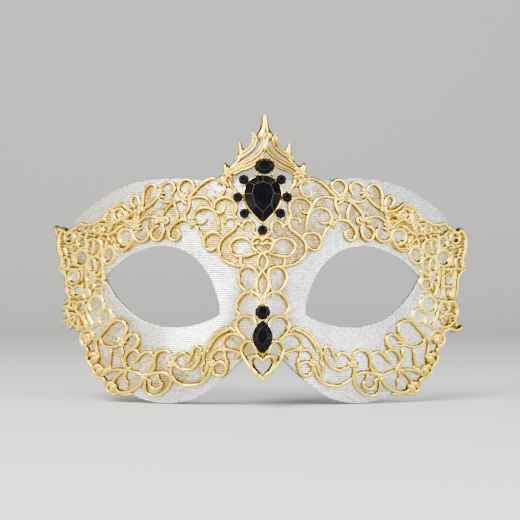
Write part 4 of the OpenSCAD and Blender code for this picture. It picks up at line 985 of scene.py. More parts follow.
TEMPLE_STRANDS = [  # path, width, height
    [[[388, 211], [394, 210], [400, 206], [404, 204.4], [409, 206.4], [414, 209.8], [418, 213.4], [419.4, 217.4]], 3.6, 1.15],
    [[[419.4, 217.4], [424, 219.8], [429, 222.8], [434, 224.8], [439, 224.8], [444, 223.8], [448, 226.4]], 3.5, 1.1],
    [[[448, 226.4], [453, 230.4], [457.5, 233.2], [460.6, 230.6], [463.4, 232.8], [465.6, 238], [466.0, 245], [465.0, 252], [462.8, 257.5], [463, 264], [465.8, 269]], 3.9, 1.15],
    [[[465.8, 269], [461.5, 272.2], [458.4, 277], [457.6, 284], [457, 290], [454.2, 299]], 3.4, 1.0],
    [[[455, 271], [454.4, 279], [454, 287], [452.4, 298]], 5.4, 0.95],
    [[[443, 267.5], [442.6, 276], [443, 286], [443.8, 299]], 6.2, 1.0],
    [[[437.6, 263], [438.6, 271], [438.2, 280], [436.4, 289], [433.8, 296.5]], 3.2, 1.15],
    [[[443, 286.5], [449, 286.2], [455, 286.6]], 3.2, 1.05],
    [[[436, 299.5], [444, 301.5], [455, 301.5]], 3.6, 1.05],
    [[[440, 268.8], [450, 269.4], [458, 268.6], [463, 269.6]], 4.0, 1.1],
    [[[392, 240], [395, 246], [400, 249], [408, 247.6], [414, 245.4], [420, 246.4]], 3.2, 1.1],
    [[[431, 239.6], [430.8, 246], [433, 254.5]], 2.6, 1.0],
    [[[431.6, 257.5], [429, 266], [430.4, 273.5]], 2.6, 1.0],
    [[[404, 226], [409, 231], [415, 234], [421, 233.5], [425, 236]], 3.2, 1.3],
    [[[404, 219.5], [408.5, 222], [414, 224], [421, 224], [427, 223.5]], 3.0, 1.2],
    [[[437, 233], [438.6, 238], [437.6, 244], [438, 249.5]], 2.8, 1.2],
    [[[446, 246], [450, 244.6], [455, 246.4], [461, 244.6]], 2.8, 1.25],
    [[[449, 251], [452, 256], [450.4, 262], [453, 266]], 3.0, 1.25],
    [[[461, 247], [459, 252], [456.6, 256]], 2.8, 1.2],
    [[[454, 300], [455.2, 304], [457.6, 308.4], [457.2, 313], [455, 317], [456, 321], [456.6, 326]], 3.8, 1.1],
    [[[462, 326], [459.6, 328.7], [455.5, 330], [450.5, 328.4], [446.5, 330], [442.6, 333.2]], 3.2, 1.1],
    [[[439.5, 318.5], [445, 314.4], [452.5, 313.5]], 3.8, 1.25],
    [[[440.5, 326], [446, 327], [452, 323], [455, 320]], 3.2, 1.15],
    [[[437, 303], [437.6, 311], [435.6, 319], [431.5, 326.5]], 3.2, 1.15],
    [[[424, 322], [430, 326], [435.5, 329.4], [441, 331.6]], 3.2, 1.15],
    [[[421.6, 296.5], [427, 294.2], [432, 295.4]], 2.6, 1.1],
    [[[421, 270.5], [421.6, 277], [420.4, 282.6]], 2.6, 1.0],
    [[[388, 222], [393, 221], [399, 220.5], [404, 219.5]], 3.0, 1.15],
    [[[388, 231], [391, 233.5], [391.6, 238]], 3.0, 1.1]]
TEMPLE_OVALS = [  # raised rims: middle, half width, half height, turn, strand
    [398.5, 236.8, 7.2, 7.8, 0, 3.2], [416, 255.3, 6.0, 8.3, 0.25, 3.3], [431, 247.6, 8.2, 8.8, 0, 3.3], [443, 258, 7.0, 8.0, 0, 3.2],
    [443, 242, 4.4, 6.0, 0, 2.8], [455, 237.8, 4.8, 5.6, 0, 2.8], [459, 263, 4.0, 5.9, 0, 2.8], [429, 266, 7.4, 9.6, 0.1, 3.3],
    [434, 277, 4.6, 5.6, 0, 2.8], [426, 283.5, 5.5, 5.0, 0, 2.8], [402, 215, 3.8, 3.7, 0, 2.6], [416, 218, 4.2, 4.0, 0, 2.7],
    [427, 229.5, 3.9, 3.8, 0, 2.7], [418, 229, 3.4, 3.3, 0, 2.5], [448, 236, 3.5, 4.0, 0, 2.5], [444, 307, 5.2, 5.2, 0, 3.0],
    [428.6, 304.6, 7.4, 8.4, 0, 3.3], [419.6, 316.6, 6.4, 8.4, 0.15, 3.2], [436.8, 335.4, 4.8, 4.8, 0, 2.8]]
webs = [px(w_) for w_ in TEMPLE_WEBS]
strands = [(px(p), w_ * 1.16 + 0.3, h_) for p, w_, h_ in TEMPLE_STRANDS] + [(oval(a, b_, c, d, e), w_ * 1.2 + 0.3, 1.1) for a, b_, c, d, e, w_ in TEMPLE_OVALS]
holes = [(a - 262.5, 290 - b_, c * 0.84, d * 0.84, e) for a, b_, c, d, e in TEMPLE_HOLES]
rb = np.random.default_rng(21)
bumps = []
while len(bumps) < 260:
    x_, y_ = rb.uniform(125, 204), rb.uniform(-42, 86)
    if any(in_polygon(np.array([x_]), np.array([y_]), w_)[0] for w_ in webs):
        bumps.append((x_, y_, rb.uniform(2.0, 4.4), rb.uniform(1.0, 1.6), rb.uniform(0, math.pi), rb.uniform(0.35, 1.05)))
temple = Stock()
relief(temple, (116, -60, 214, 98), webs, holes, strands, bumps)
r_ = temple
LADDER = ([[455, 271]], [[443, 267.5]], [[443, 286.5]])
strands_l = [(px(p), w_ * 1.16 + 0.3, h_) for p, w_, h_ in TEMPLE_STRANDS if p[:1] not in [list(q) for q in LADDER] and p[0] != [462, 326]]
strands_l += [(px(p), w_, h_) for p, w_, h_ in (
    [[[464.8, 242], [467.4, 236], [468.6, 230.5], [469.4, 227.5]], 5.0, 1.1],
    [[[457.6, 233], [461.5, 230.2], [465.6, 229.6], [468.2, 229.4]], 4.6, 1.15],
    [[[450, 309], [456, 306.4], [461.4, 306.6]], 5.2, 1.3], [[[450, 313], [456, 313], [462, 312.4]], 4.6, 1.2],
    [[[449, 316], [455, 319.4], [461.6, 320.4]], 5.2, 1.3], [[[448, 318], [452.5, 323.5], [456.6, 327.4]], 4.8, 1.25],
    [[[446, 319], [446.4, 325], [447.6, 330]], 4.6, 1.25], [[[443, 316], [439.6, 322], [438, 329]], 4.6, 1.25],
    [[[454, 297], [457.6, 301], [461, 302.6]], 4.4, 1.2],
    [[[462.4, 268], [459, 275], [458.6, 283], [456.6, 291], [454.6, 299]], 4.2, 1.15],
    [[[443.6, 268], [441.8, 274], [443, 281]], 3.6, 1.1])]
ovals_l = TEMPLE_OVALS + [[451, 277, 5.4, 6.4, 0, 3.0], [447, 291, 4.6, 5.6, 0.2, 2.9], [455, 289.5, 3.2, 4.2, 0, 2.6]]
strands_l += [(oval(a, b_, c, d, e), w_ * 1.2 + 0.3, 1.15) for a, b_, c, d, e, w_ in ovals_l]
holes_l = [h for h in holes if not (h[0] > 184 and -5 < h[1] < 12)] + [(451 - 262.5, 13, 2.6, 3.6, 0), (447 - 262.5, -1, 2.0, 2.8, 0), (455 - 262.5, 0.5, 1.3, 2.0, 0)]
holes_l = holes_l + [(448 - 262.5, -13, 2.4, 3.0, 0)]
temple_l = Stock()
relief(temple_l, (116, -60, 216, 98), webs, holes_l, strands_l, bumps[::-1], seed=9)
l_ = temple_l.mirror()
piece("temple_scrolls_right", r_, GOLD, ["temple_filigree_right"])
piece("temple_scrolls_left", l_, GOLD, ["temple_filigree_left"])

cheek = Stock()
scrolls(cheek, CHEEK_LINES)
for cx, cy, rx, ry in CHEEK_RINGS[:1]:
    wire(cheek, ring_path(cx, cy, rx, ry, 12, rng.uniform(0, 1)), w=4.6, h=3.4, closed=True, base=float(rng.uniform(0, 0.2)))
for a in ((37.5, -60.5, 90, 5.5, 3), (51, -74.5, 120, 6, 3), (90.5, -75, 90, 7, 4), (116.5, -87, 40, 6.5, 4), (141.5, -52, 160, 6.5, 4), (154.5, -81, 60, 6.5, 4)):
    claw(cheek, *a)
for a, b in (((90, -74), (96, -78)), ((91, -76), (86, -71)), ((117, -86), (111, -90)), ((136, -80), (131, -76)), ((142, -53), (148, -49)),
             ((58, -62), (63, -66)), ((168, -74), (173, -69)), ((156, -83), (162, -87)), ((175, -57), (180, -52)), ((38, -60), (32, -57))):
    leaf(cheek, a, b, 3.8, 3.0, 0.08, 0.1)
for cx, cy, rx, ry in CHEEK_RINGS[1:]:
    bulb(cheek, cx, cy, min(rx, ry) - 0.2, 2.0, 0.0, 18)
    a0 = math.atan2(cy + 10, cx - 100)
    sx, sy = cx - 0.7 * rx * math.cos(a0), cy - 0.7 * ry * math.sin(a0)
    for k, (da, l) in enumerate(((-78, 1.0), (74, 1.0), (-46, 1.12), (42, 1.12), (-3, 1.22))):
        a = a0 + math.radians(da + rng.uniform(-7, 7))
        leaf(cheek, (sx, sy), (cx + l * rx * math.cos(a), cy + l * ry * math.sin(a)), 6.4, 4.4, 0.12 * (1 if da > 0 else -1), 0.2 + 0.12 * k)
    bulb(cheek, sx, sy, 2.1, 4.4, 0.6)
r_, l_ = mirrored(cheek)
piece("cheek_scrolls_right", r_, GOLD_DEEP, ["cheek_filigree_right"])
piece("cheek_scrolls_left", l_, GOLD_DEEP, ["cheek_filigree_left"])

# ---------------------------------------------------------------- crest
def widths(*w):
    x = np.linspace(0, 1, len(w))
    return lambda t: float(np.interp(t, x, w))



CX = 2.2


def band(stock, path, wf, h=3.6, base=0.9, axis=CX, mirror=False, step=0.6, tip=0.6, grooves=1):
    """A flat cast band with raised rims and a sunk middle, tapering by wf (squares)."""
    q = spline(path, step=step)
    if mirror:
        q = q * [-1, 1]
    q = q + [axis, 0]
    n = len(q)
    u, v = q[:, 0] * G, q[:, 1] * G
    nn = out(u, v)
    p = lift(u, v, np.full(n, FRONT + base))
    t = np.gradient(p, axis=0)
    t /= np.linalg.norm(t, axis=1, keepdims=True)
    s = np.cross(t, nn)
    s /= np.linalg.norm(s, axis=1, keepdims=True)
    tt = np.linspace(0, 1, n)
    wv = np.array([wf(x) for x in tt])
    if grooves:
        prof = [(0.5, 0.0), (0.52, 0.35), (0.48, 0.66), (0.38, 0.9), (0.28, 1.0), (0.18, 0.86), (0.1, 0.7), (0.0, 0.64),
                (-0.1, 0.7), (-0.18, 0.86), (-0.28, 1.0), (-0.38, 0.9), (-0.48, 0.66), (-0.52, 0.35), (-0.5, 0.0)]
    else:
        prof = [(0.5, 0.0), (0.52, 0.35), (0.46, 0.62), (0.34, 0.82), (0.18, 0.94), (0.0, 1.0), (-0.18, 0.94), (-0.34, 0.82),
                (-0.46, 0.62), (-0.52, 0.35), (-0.5, 0.0)]
    m = len(prof)
    W = wv * G
    H = h * G * np.clip(0.55 + wv / 9.0, 0.6, 1.0)
    vs = np.zeros((n, m, 3))
    for j, (a, b) in enumerate(prof):
        vs[:, j] = p + s * (a * W)[:, None] + nn * (b * H)[:, None]
    F = []
    for i in range(n - 1):
        for j in range(m):
            j2 = (j + 1) % m
            F.append((i * m + j, (i + 1) * m + j, (i + 1) * m + j2, i * m + j2))
    F.append(tuple(range(m)))
    F.append(tuple((n - 1) * m + j for j in range(m))[::-1])
    stock.add(vs.reshape(-1, 3), F)


def ribbon(stock, left, right, h0=0.75, h1=3.0, sg=1, ribs=2, rise=2.0):
    """A flat cast strip between two edges of the drawing, with raised ribs
    along it. h0 and h1 are heights over the cloth, mm."""
    a, b = spline(left, step=0.5), spline(right, step=0.5)
    n = max(len(a), len(b))
    def even(q):
        s_ = np.concatenate([[0], np.cumsum(np.linalg.norm(np.diff(q, axis=0), axis=1))])
        t_ = np.linspace(0, s_[-1], n)
        return np.stack([np.interp(t_, s_, q[:, 0]), np.interp(t_, s_, q[:, 1])], -1)
    a, b = even(a), even(b)
    if ribs == 2:
        prof = [(0.0, 0.0), (0.0, 0.5), (0.04, 0.74), (0.12, 0.92), (0.22, 1.0), (0.32, 0.92), (0.41, 0.74), (0.5, 0.68),
                (0.59, 0.74), (0.68, 0.92), (0.78, 1.0), (0.88, 0.92), (0.96, 0.74), (1.0, 0.5), (1.0, 0.0)]
    else:
        prof = [(0.0, 0.0), (0.0, 0.45), (0.04, 0.62), (0.12, 0.76), (0.25, 0.88), (0.38, 0.96), (0.5, 1.0),
                (0.62, 0.96), (0.75, 0.88), (0.88, 0.76), (0.96, 0.62), (1.0, 0.45), (1.0, 0.0)]
    m = len(prof)
    wd = np.linalg.norm(a - b, axis=1)
    sc = np.clip(0.62 + wd / 12.0, 0.62, 1.08)
    vs = np.zeros((n, m, 3))
    for k, (t_, hh) in enumerate(prof):
        q = a * (1 - t_) + b * t_
        q = np.stack([CX + sg * q[:, 0], q[:, 1]], -1)
        u, v = q[:, 0] * G, q[:, 1] * G
        vs[:, k] = lift(u, v, FRONT + h0 + (h1 - h0) * hh * sc) - rise * out(u, v) * np.array([1.0, 0, 1.0])
    F = []
    for i_ in range(n - 1):
        for k in range(m):
            k2 = (k + 1) % m
            F.append((i_ * m + k, (i_ + 1) * m + k, (i_ + 1) * m + k2, i_ * m + k2))
    F.append(tuple(range(m)))
    F.append(tuple((n - 1) * m + k for k in range(m))[::-1])
    # painted shade at the foot of the strip, painted highlight on its ribs
    painted_light = np.tile([0.0 if hh == 0 else float(np.interp(hh, [0.4, 0.62, 0.74, 0.92, 1.0], [0.15, 0.4, 0.5, 0.85, 1.0])) for _, hh in prof], n)
    stock.add(vs.reshape(-1, 3), F, painted_light)


crest = Stock()
stem_r = [[3.2, 173.4], [3.5, 169.5], [4.0, 165], [5.0, 161], [6.4, 158], [7.9, 155.6], [8.3, 153], [6.6, 150.8], [4.8, 148.4], [4.0, 145],
          [3.6, 142.5], [2.2, 139.5], [0.6, 137]]
ribbon(crest, [[-p[0], p[1]] for p in stem_r], stem_r, h1=3.2, ribs=1)
for sg in (1, -1):
    ribbon(crest, [[10.6, 157.2], [9.4, 154.6], [7.6, 152.2], [6.4, 149.6], [7.2, 146.4], [8.9, 142.5], [11.6, 138.8], [14.8, 135.9], [18.4, 133.4], [22, 131.2], [27, 128]],
           [[12.6, 157], [12.9, 153.6], [13.0, 150], [13.7, 147], [15.2, 143.7], [17.2, 141.2], [19.4, 139.4], [22.4, 137.2], [25, 135], [27.5, 133], [30, 130.5]], sg=sg)
    ribbon(crest, [[24.2, 147.8], [22.7, 144.6], [21, 141.3], [19.6, 138.6], [20, 135], [22, 131], [25, 127], [28, 123], [31, 118.5]],
           [[26.0, 147.4], [26.6, 144.5], [26.4, 140], [27.2, 134.6], [28.8, 130.2], [31.0, 126.6], [34, 124], [37, 121], [39, 117]], sg=sg, ribs=1, h1=2.8)
    ribbon(crest, [[0.4, 143], [1.4, 139.5], [3.6, 135.6], [7.0, 132.4], [11.5, 129.4], [16.8, 126.4], [22, 123.6], [28, 120.2], [34, 116]],
           [[3.8, 147.2], [5.2, 143], [8.4, 138.8], [12.2, 134.8], [16.8, 131.5], [21.2, 129.2], [27, 126], [31, 123.2], [36, 119.5]], sg=sg, h1=3.1)
    top = [[1, 137], [3.2, 133.2], [6.6, 130.2], [11.3, 127.3], [17, 124.3], [23, 121.8], [31, 117.6]]
    if sg < 0:
        top = [[p[0], p[1] + 1.6] for p in top]
    ribbon(crest, [[0.5, 131.2], [4.2, 128.6], [8.6, 125.2], [12, 121.8], [17, 119.4], [22.6, 117.8], [30, 113.6]], top, sg=sg, h1=2.8)
    ribbon(crest, [[29.5, 122], [31, 118], [32.5, 114.5], [34.5, 111.5]], [[31, 126.4], [35.6, 123.4], [40.6, 119.6], [40.6, 112.5]], sg=sg, ribs=1, h1=2.7)
    ribbon(crest, [[38.3, 126.9], [36.5, 124.6], [35, 121.8], [35, 117]], [[40.4, 126.4], [41.6, 122.6], [41.6, 118.6], [40.4, 113]], sg=sg, ribs=1, h1=2.9)
sx = (1, -1)
for sg in sx:
    for a, b, w, h in (((36, 118), (28.5, 122.5), 4.6, 5.0), ((36, 117), (27.5, 115.5), 4.4, 4.6), ((36.5, 116), (31, 108.5), 4.8, 5.2),
                       ((37, 117), (43.5, 112.5), 4.4, 4.6), ((37, 118), (42.5, 119.5), 4.0, 4.6), ((36.5, 117), (35.5, 125), 4.6, 4.6), ((36.5, 116), (38.5, 107.5), 4.4, 5.0)):
        leaf(crest, (CX + sg * a[0], a[1]), (CX + sg * b[0], b[1]), w, h, base=1.3)
    bulb(crest, CX + sg * 36.5, 117, 2.6, 5.4, 1.2)
# small diamond boss and its side leaves
leaf(crest, (CX, 149), (CX, 160.5), 4.6, 6.4, base=1.4)
for sg in sx:
    leaf(crest, (CX + sg * 1, 152.5), (CX + sg * 7.5, 150), 3.8, 5.6, 0.08 * sg, base=1.2)
    leaf(crest, (CX + sg * 0.5, 153), (CX + sg * 5, 158), 3.2, 5.4, 0, base=1.3)
bulb(crest, CX, 152.8, 2.4, 7.2, 1.4)
bulb(crest, CX - 4.2, 130.8, 1.5, 5.0, 1.2)
crest_ob = piece("crest_casting", crest, GOLD, ["crest"])

# ---------------------------------------------------------------- stones and settings
# how far over the cloth each stone is seen, mm
RISE = {(0.3, 92): 2.8, (2, 123.5): 4.8, (0, -21.6): 2.6, (0, -46.8): 2.6, (18.8, 110.2): 2.4, (24.6, 92.8): 2.4, (18.1, 76.6): 2.4, (0, 60.2): 2.4}


def frame_at(gx, gy, h):
    rise_ = RISE.get((abs(gx), gy), 0.0)
    u, v = np.array(gx * G), np.array(gy * G)
    n = out(u, v)
    x = np.cross([0, 0, 1.0], n)
    x /= np.linalg.norm(x)
    return lift(u, v, h) - rise_ * n * np.array([1.0, 0, 1.0]), x, np.cross(n, x), n


def cut_outline(shape, n):
    """The outline resampled to n points, starting at its first point."""
    p = spline(shape, closed=True, step=0.25)
    s = np.concatenate([[0], np.cumsum(np.linalg.norm(np.diff(np.vstack([p, p[0]]), axis=0), axis=1))])
    t = np.linspace(0, s[-1], n + 1)[:-1]
    pp = np.vstack([p, p[0]])
    return np.stack([np.interp(t, s, pp[:, 0]), np.interp(t, s, pp[:, 1])], -1)


def gem(name, gx, gy, shape, base, height, node, n=16, table=0.56, turn_=0.0):
    """A faceted stone: girdle, kite and star facets, flat table."""
    c, x, y, z = frame_at(gx, gy, base)
    P0 = cut_outline(shape, n) * G
    mid = (P0 + np.roll(P0, -1, 0)) / 2
    cen = P0.mean(0)

    def ring(pts, k, h):
        q = cen + (pts - cen) * k
        return c + x * q[:, :1] + y * q[:, 1:] + z * h
    rows = [ring(P0, 0.86, 0.0), ring(P0, 1.0, height * 0.24), ring(P0, 1.0, height * 0.36),
            ring(mid, (1 + table) / 2 * 1.02, height * 0.76), ring(P0, table, height)]
    st = Stock()
    V = np.vstack(rows)
    F = []
    for k in (0, 1):
        for i in range(n):
            i2 = (i + 1) % n
            F.append((k * n + i, k * n + i2, (k + 1) * n + i2, (k + 1) * n + i))
    for i in range(n):
        i2 = (i + 1) % n
        a, b = 2 * n + i, 2 * n + i2
        m0, m1 = 3 * n + i, 3 * n + i2
        t0, t1 = 4 * n + i, 4 * n + i2
        F.append((a, b, m0))
        F.append((b, m1, t1, m0))
        F.append((m0, t1, t0))
    F.append(tuple(4 * n + i for i in range(n)))
    F.append(tuple(range(n))[::-1])
    area2 = (P0[:, 0] * np.roll(P0[:, 1], -1) - np.roll(P0[:, 0], -1) * P0[:, 1]).sum()
    if area2 < 0:
        F = [f[::-1] for f in F]
    st.add(V, F)
    ob = piece(name, st, STONE, [node], smooth=False)
    bm = bmesh.new()
    bm.from_mesh(ob.data)
    made = bmesh.ops.bevel(bm, geom=list(bm.edges), offset=0.00008, segments=1, affect="EDGES", clamp_overlap=True)
    thin = {f.index for f in made["faces"]}
    bm.faces.index_update()
    thin = {f.index for f in made["faces"] if f.is_valid}
    bm.to_mesh(ob.data)
    bm.free()
    # painted highlight on the thin bevel faces along the facet edges
    painted_edge_highlight = ob.data.attributes.new("painted_edge_highlight", "FLOAT", "FACE")
    painted_edge_highlight.data.foreach_set("value", [0.3 if k in thin else 0.0 for k in range(len(ob.data.polygons))])
    return ob


def tube(stock, gx, gy, shape, prof, n=64):
    """A closed wall round an outline: prof rows are (offset outward mm, height mm)."""
    c, x, y, z = frame_at(gx, gy, 0.0)
    P0 = cut_outline(shape, n) * G
    t = np.roll(P0, -1, 0) - np.roll(P0, 1, 0)
    t /= np.linalg.norm(t, axis=1, keepdims=True)
    nrm = np.stack([t[:, 1], -t[:, 0]], -1)
    area2 = (P0[:, 0] * np.roll(P0[:, 1], -1) - np.roll(P0[:, 0], -1) * P0[:, 1]).sum()
    if area2 < 0:
        nrm = -nrm
    rows = []
    for a, h in prof:
        q = P0 + nrm * a
        rows.append(c + x * q[:, :1] + y * q[:, 1:] + z * h)
    m = len(rows)
    F = []
    for k in range(m):
        k2 = (k + 1) % m
        for i in range(n):
            i2 = (i + 1) % n
            f = (k * n + i, k * n + i2, k2 * n + i2, k2 * n + i)
            F.append(f if area2 > 0 else f[::-1])
    stock.add(np.vstack(rows), F)


def prong(stock, gx, gy, shape, at_t, h0, h1, reach=0.5, r=0.26, off=0.12):
    """A small claw from the wall of a setting over the stone's edge."""
    c, x, y, z = frame_at(gx, gy, 0.0)
    P0 = cut_outline(shape, 200) * G
    i = int(at_t * 200) % 200
    p = P0[i]
    d = p - P0.mean(0)
    d /= np.linalg.norm(d)
    path = [(off, h0), (off + 0.05, (h0 + h1) / 2), (off - 0.02, h1 - 0.12), (off - reach * 0.45, h1 + 0.04), (off - reach, h1 + 0.02)]
    seg = 8
    V = []
    tang = np.array([-d[1], d[0]])
    for k, (a, h) in enumerate(path):
        q = p + d * a
        o = c + x * q[0] + y * q[1] + z * h
        k2 = min(k + 1, len(path) - 1)
        k1 = max(k - 1, 0)
        dd = np.array([path[k2][0] - path[k1][0], path[k2][1] - path[k1][1]])
        dd /= np.linalg.norm(dd)
        e1 = x * tang[0] + y * tang[1]
        e2 = (x * d[0] + y * d[1]) * (-dd[1]) + z * dd[0]
        rr = r * (1.0 if k < len(path) - 1 else 0.6)
        for j in range(seg):
            an = 2 * math.pi * j / seg
            V.append(o + e1 * math.cos(an) * rr + e2 * math.sin(an) * rr)
    F = []
    for k in range(len(path) - 1):
        for j in range(seg):
            j2 = (j + 1) % seg
            F.append((k * seg + j, (k + 1) * seg + j, (k + 1) * seg + j2, k * seg + j2))
    F.append(tuple(range(seg)))
    F.append(tuple((len(path) - 1) * seg + j for j in range(seg))[::-1])
    stock.add(V, F)


def ellipse(rx, ry, n=24):
    a = np.linspace(0, 2 * math.pi, n + 1)[:-1]
    return np.stack([rx * np.cos(a), ry * np.sin(a)], -1).tolist()


BED = 0.15
HALO_R = 4.4
HALO = [[18.8, 110.2], [24.6, 92.8], [18.1, 76.6]]
seat0 = FRONT - BED
PEAR_CUT = [[0, -24.9], [5.2, -20.8], [9.8, -15.9], [13.2, -11.8], [15.9, -7.4], [17.8, -2.3], [18.7, 2.6], [18.5, 7.4], [17, 12.6],
            [13.6, 17.4], [8.2, 21.2], [0, 23], [-8.2, 21.2], [-13.6, 17.4], [-17, 12.6], [-18.5, 7.4], [-18.7, 2.6], [-17.8, -2.3],
            [-15.9, -7.4], [-13.2, -11.8], [-9.8, -15.9], [-5.2, -20.8]]
PEAR_TABLE = [[0.3, 15.4], [8.2, 12.2], [11.0, 3.8], [7.8, -8.2], [0.0, -16.2], [-7.4, -8.6], [-10.8, 3.4], [-8.6, 11.9]]


def pear_gem(gx, gy, base, height):
    c, x, y, z = frame_at(gx, gy, base)
    P0 = cut_outline(PEAR_CUT, 56)
    if (P0[:, 0] * np.roll(P0[:, 1], -1) - np.roll(P0[:, 0], -1) * P0[:, 1]).sum() < 0:
        P0 = P0[::-1]
    T = np.array(PEAR_TABLE)[::-1]
    cen = np.array([0.2, 4.0])
    tb = np.arctan2(*(T - cen).T[::-1])
    gb = np.arctan2(*(P0 - cen).T[::-1])
    corner = [int(np.argmin(np.abs(np.angle(np.exp(1j * (gb - a)))))) for a in tb]
    lo_, hi_ = height * 0.30, height
    zz = np.full(len(P0), lo_)
    F, n = [], len(P0)
    V = [c + x * q[0] * G * 0.88 + y * q[1] * G * 0.88 for q in P0] + [c + x * q[0] * G + y * q[1] * G + z * height * 0.2 for q in P0]
    for k in range(len(T)):
        k2 = (k + 1) % len(T)
        a, b_ = corner[k], corner[k2]
        run = list(range(a, b_ + 1)) if b_ >= a else list(range(a, n)) + list(range(0, b_ + 1))
        t0, t1 = T[k], T[k2]
        e = (t1 - t0) / np.linalg.norm(t1 - t0)
        far = max(abs(float(np.cross(e, P0[i] - t0))) for i in run)
        for i in run[1:-1]:
            zz[i] = hi_ - (hi_ - lo_) * abs(float(np.cross(e, P0[i] - t0))) / far
    V += [c + x * q[0] * G + y * q[1] * G + z * h for q, h in zip(P0, zz)]
    V += [c + x * q[0] * G + y * q[1] * G + z * height for q in T]
    for r in (0, 1):
        for i in range(n):
            i2 = (i + 1) % n
            F.append((r * n + i, r * n + i2, (r + 1) * n + i2, (r + 1) * n + i))
    for k in range(len(T)):
        k2 = (k + 1) % len(T)
        a, b_ = corner[k], corner[k2]
        run = list(range(a, b_ + 1)) if b_ >= a else list(range(a, n)) + list(range(0, b_ + 1))
        F.append(tuple([3 * n + k] + [2 * n + i for i in run] + [3 * n + k2]))
    F.append(tuple(3 * n + k for k in range(len(T))))
    F.append(tuple(range(n))[::-1])
    st = Stock()
    st.add(V, F)
    ob = piece("pear_gem", st, STONE, ["pear_stone"], smooth=False)
    bm = bmesh.new()
    bm.from_mesh(ob.data)
    bm.edges.ensure_lookup_table()
    sharp = [e for e in bm.edges if all(v.index >= 3 * n for v in e.verts)
             or (sum(v.index >= 3 * n for v in e.verts) == 1)]
    made = bmesh.ops.bevel(bm, geom=sharp, offset=0.00009, segments=1, affect="EDGES", clamp_overlap=True)
    bm.faces.index_update()
    thin = {f.index for f in made["faces"] if f.is_valid}
    bm.to_mesh(ob.data)
    bm.free()
    # painted highlight on the bevel faces along the table and its edges, stronger than on the other stones
    painted_edge_highlight = ob.data.attributes.new("painted_edge_highlight", "FLOAT", "FACE")
    painted_edge_highlight.data.foreach_set("value", [2.6 if k in thin else 0.0 for k in range(len(ob.data.polygons))])


pear_gem(0.3, 92, seat0 + 1.44, 4.2)
gem("marquise_gem", 0, -46.8, [[p[0] * 1.1, p[1] * 1.04] for p in MARQUISE], seat0 + 1.72, 3.2, "marquise_stone", n=12, table=0.5)
gem("oval_gem", 2, 123.5, ellipse(10.6, 8.3), seat0 + 3.52, 2.6, "oval_stone", n=10, table=0.58)
gem("nose_round_gem", 0, -21.6, ellipse(8.0, 7.8), seat0 + 1.72, 3.0, "nose_round_stone", n=9, table=0.55)
for (gx, gy), nm in zip(HALO, ("upper", "middle", "lower")):
    for sg, sd in ((1, "right"), (-1, "left")):
        gem("halo_gem_%s_%s" % (nm, sd), sg * gx, gy, ellipse(HALO_R * 1.22, HALO_R * 1.22), seat0 + 0.8 + 0.4 + 0.52, 2.1,
            "halo_stone_%s_%s" % (nm, sd), n=8, table=0.55)
gem("halo_gem_bottom", 0, 60.2, ellipse(HALO_R * 1.22, HALO_R * 1.22), seat0 + 1.72, 2.1, "halo_stone_bottom", n=8, table=0.55)

# cups: thin rolled walls, lower than the girdle
plate = Stock()
big = [[p[0] * 1.09, p[1] * 1.07] for p in PEAR_CUT]
tube(plate, 0.3, 92, big, [(0, seat0), (0.02, seat0 + 0.6), (-0.15, seat0 + 0.8), (-1.3, seat0 + 0.85), (-4.2, seat0 + 0.8), (-4.2, seat0)], 72)
for (gx, gy) in HALO + [[-p[0], p[1]] for p in HALO] + [[0, 60.2]]:
    e = ellipse(HALO_R, HALO_R)
    b = seat0 + 1.2
    tube(plate, gx, gy, e, [(-1.2, b - 0.5), (-0.3, b - 0.45), (0.05, b), (0.12, b + 0.4), (0.1, b + 0.6), (0.0, b + 0.68), (-0.2, b + 0.62), (-0.25, b + 0.3), (-1.2, b + 0.2)], 36)
    tube(plate, gx, gy, ellipse(3, 3), [(0, seat0), (0, b), (-0.6, b), (-0.6, seat0)], 20)
    e2 = ellipse(HALO_R * 1.22, HALO_R * 1.22)
    for k in range(3):
        prong(plate, gx, gy, e2, (k + 0.5) / 3 + 0.07 * (1 if gx > 0 else -1), b + 0.1, b + 1.32, 0.3, 0.13)
piece("medallion_back", plate, GOLD_DEEP, ["medallion_plate"])

ps = Stock()
b = seat0 + 0.82
tube(ps, 0.3, 92, [[p[0] * 0.965, p[1] * 0.965] for p in PEAR_CUT], [(-1.4, b), (-0.1, b + 0.05), (0.15, b + 0.35), (0.18, b + 0.9), (0.14, b + 1.15), (0.02, b + 1.2), (-0.15, b + 1.1), (-0.2, b + 0.7), (-1.4, b + 0.6)], 88)
PEAR2 = PEAR_CUT
for t in (0.12, 0.3, 0.42, 0.58, 0.7, 0.88):
    prong(ps, 0.3, 92, PEAR2, t, b + 0.7, b + 2.15, 0.4, 0.17)
piece("pear_cup", ps, GOLD, ["pear_setting"])

osx = Stock()
b = FRONT - BED + 3.0
E1 = ellipse(10.1, 7.9)
tube(osx, 2, 123.5, E1, [(-1.6, b), (0.0, b), (0.12, b + 0.3), (0.16, b + 0.7), (0.08, b + 0.85), (-0.06, b + 0.8), (-0.1, b + 0.55), (-1.6, b + 0.5)], 48)
for t in (0.13, 0.37, 0.63, 0.87):
    prong(osx, 2, 123.5, E1, t, b + 0.1, b + 1.6, 0.35, 0.18)
for gx, gy, r, h0, h1 in ((2, 129.5, 3.4, FRONT + 0.8, FRONT + 3.0), (2, 118.6, 1.9, FRONT + 0.55, FRONT + 2.95)):
    tube(osx, gx, gy, ellipse(r, r), [(0, h0), (0, h1), (-0.5, h1), (-0.5, h0)], 20)
# the two short struts that reach down beside the pear, with their balls
for sg in (1, -1):
    wire(osx, [[2 + sg * 7.2, 118.8], [2 + sg * 8.3, 116.6], [2 + sg * 8.2, 114.6]], w=1.7, h=2.0, base=2.0, step=0.5)
    bulb(osx, 2 + sg * 7.9, 114.8, 1.9, 3.6, 2.4)
piece("oval_cup", osx, GOLD, ["oval_setting"])

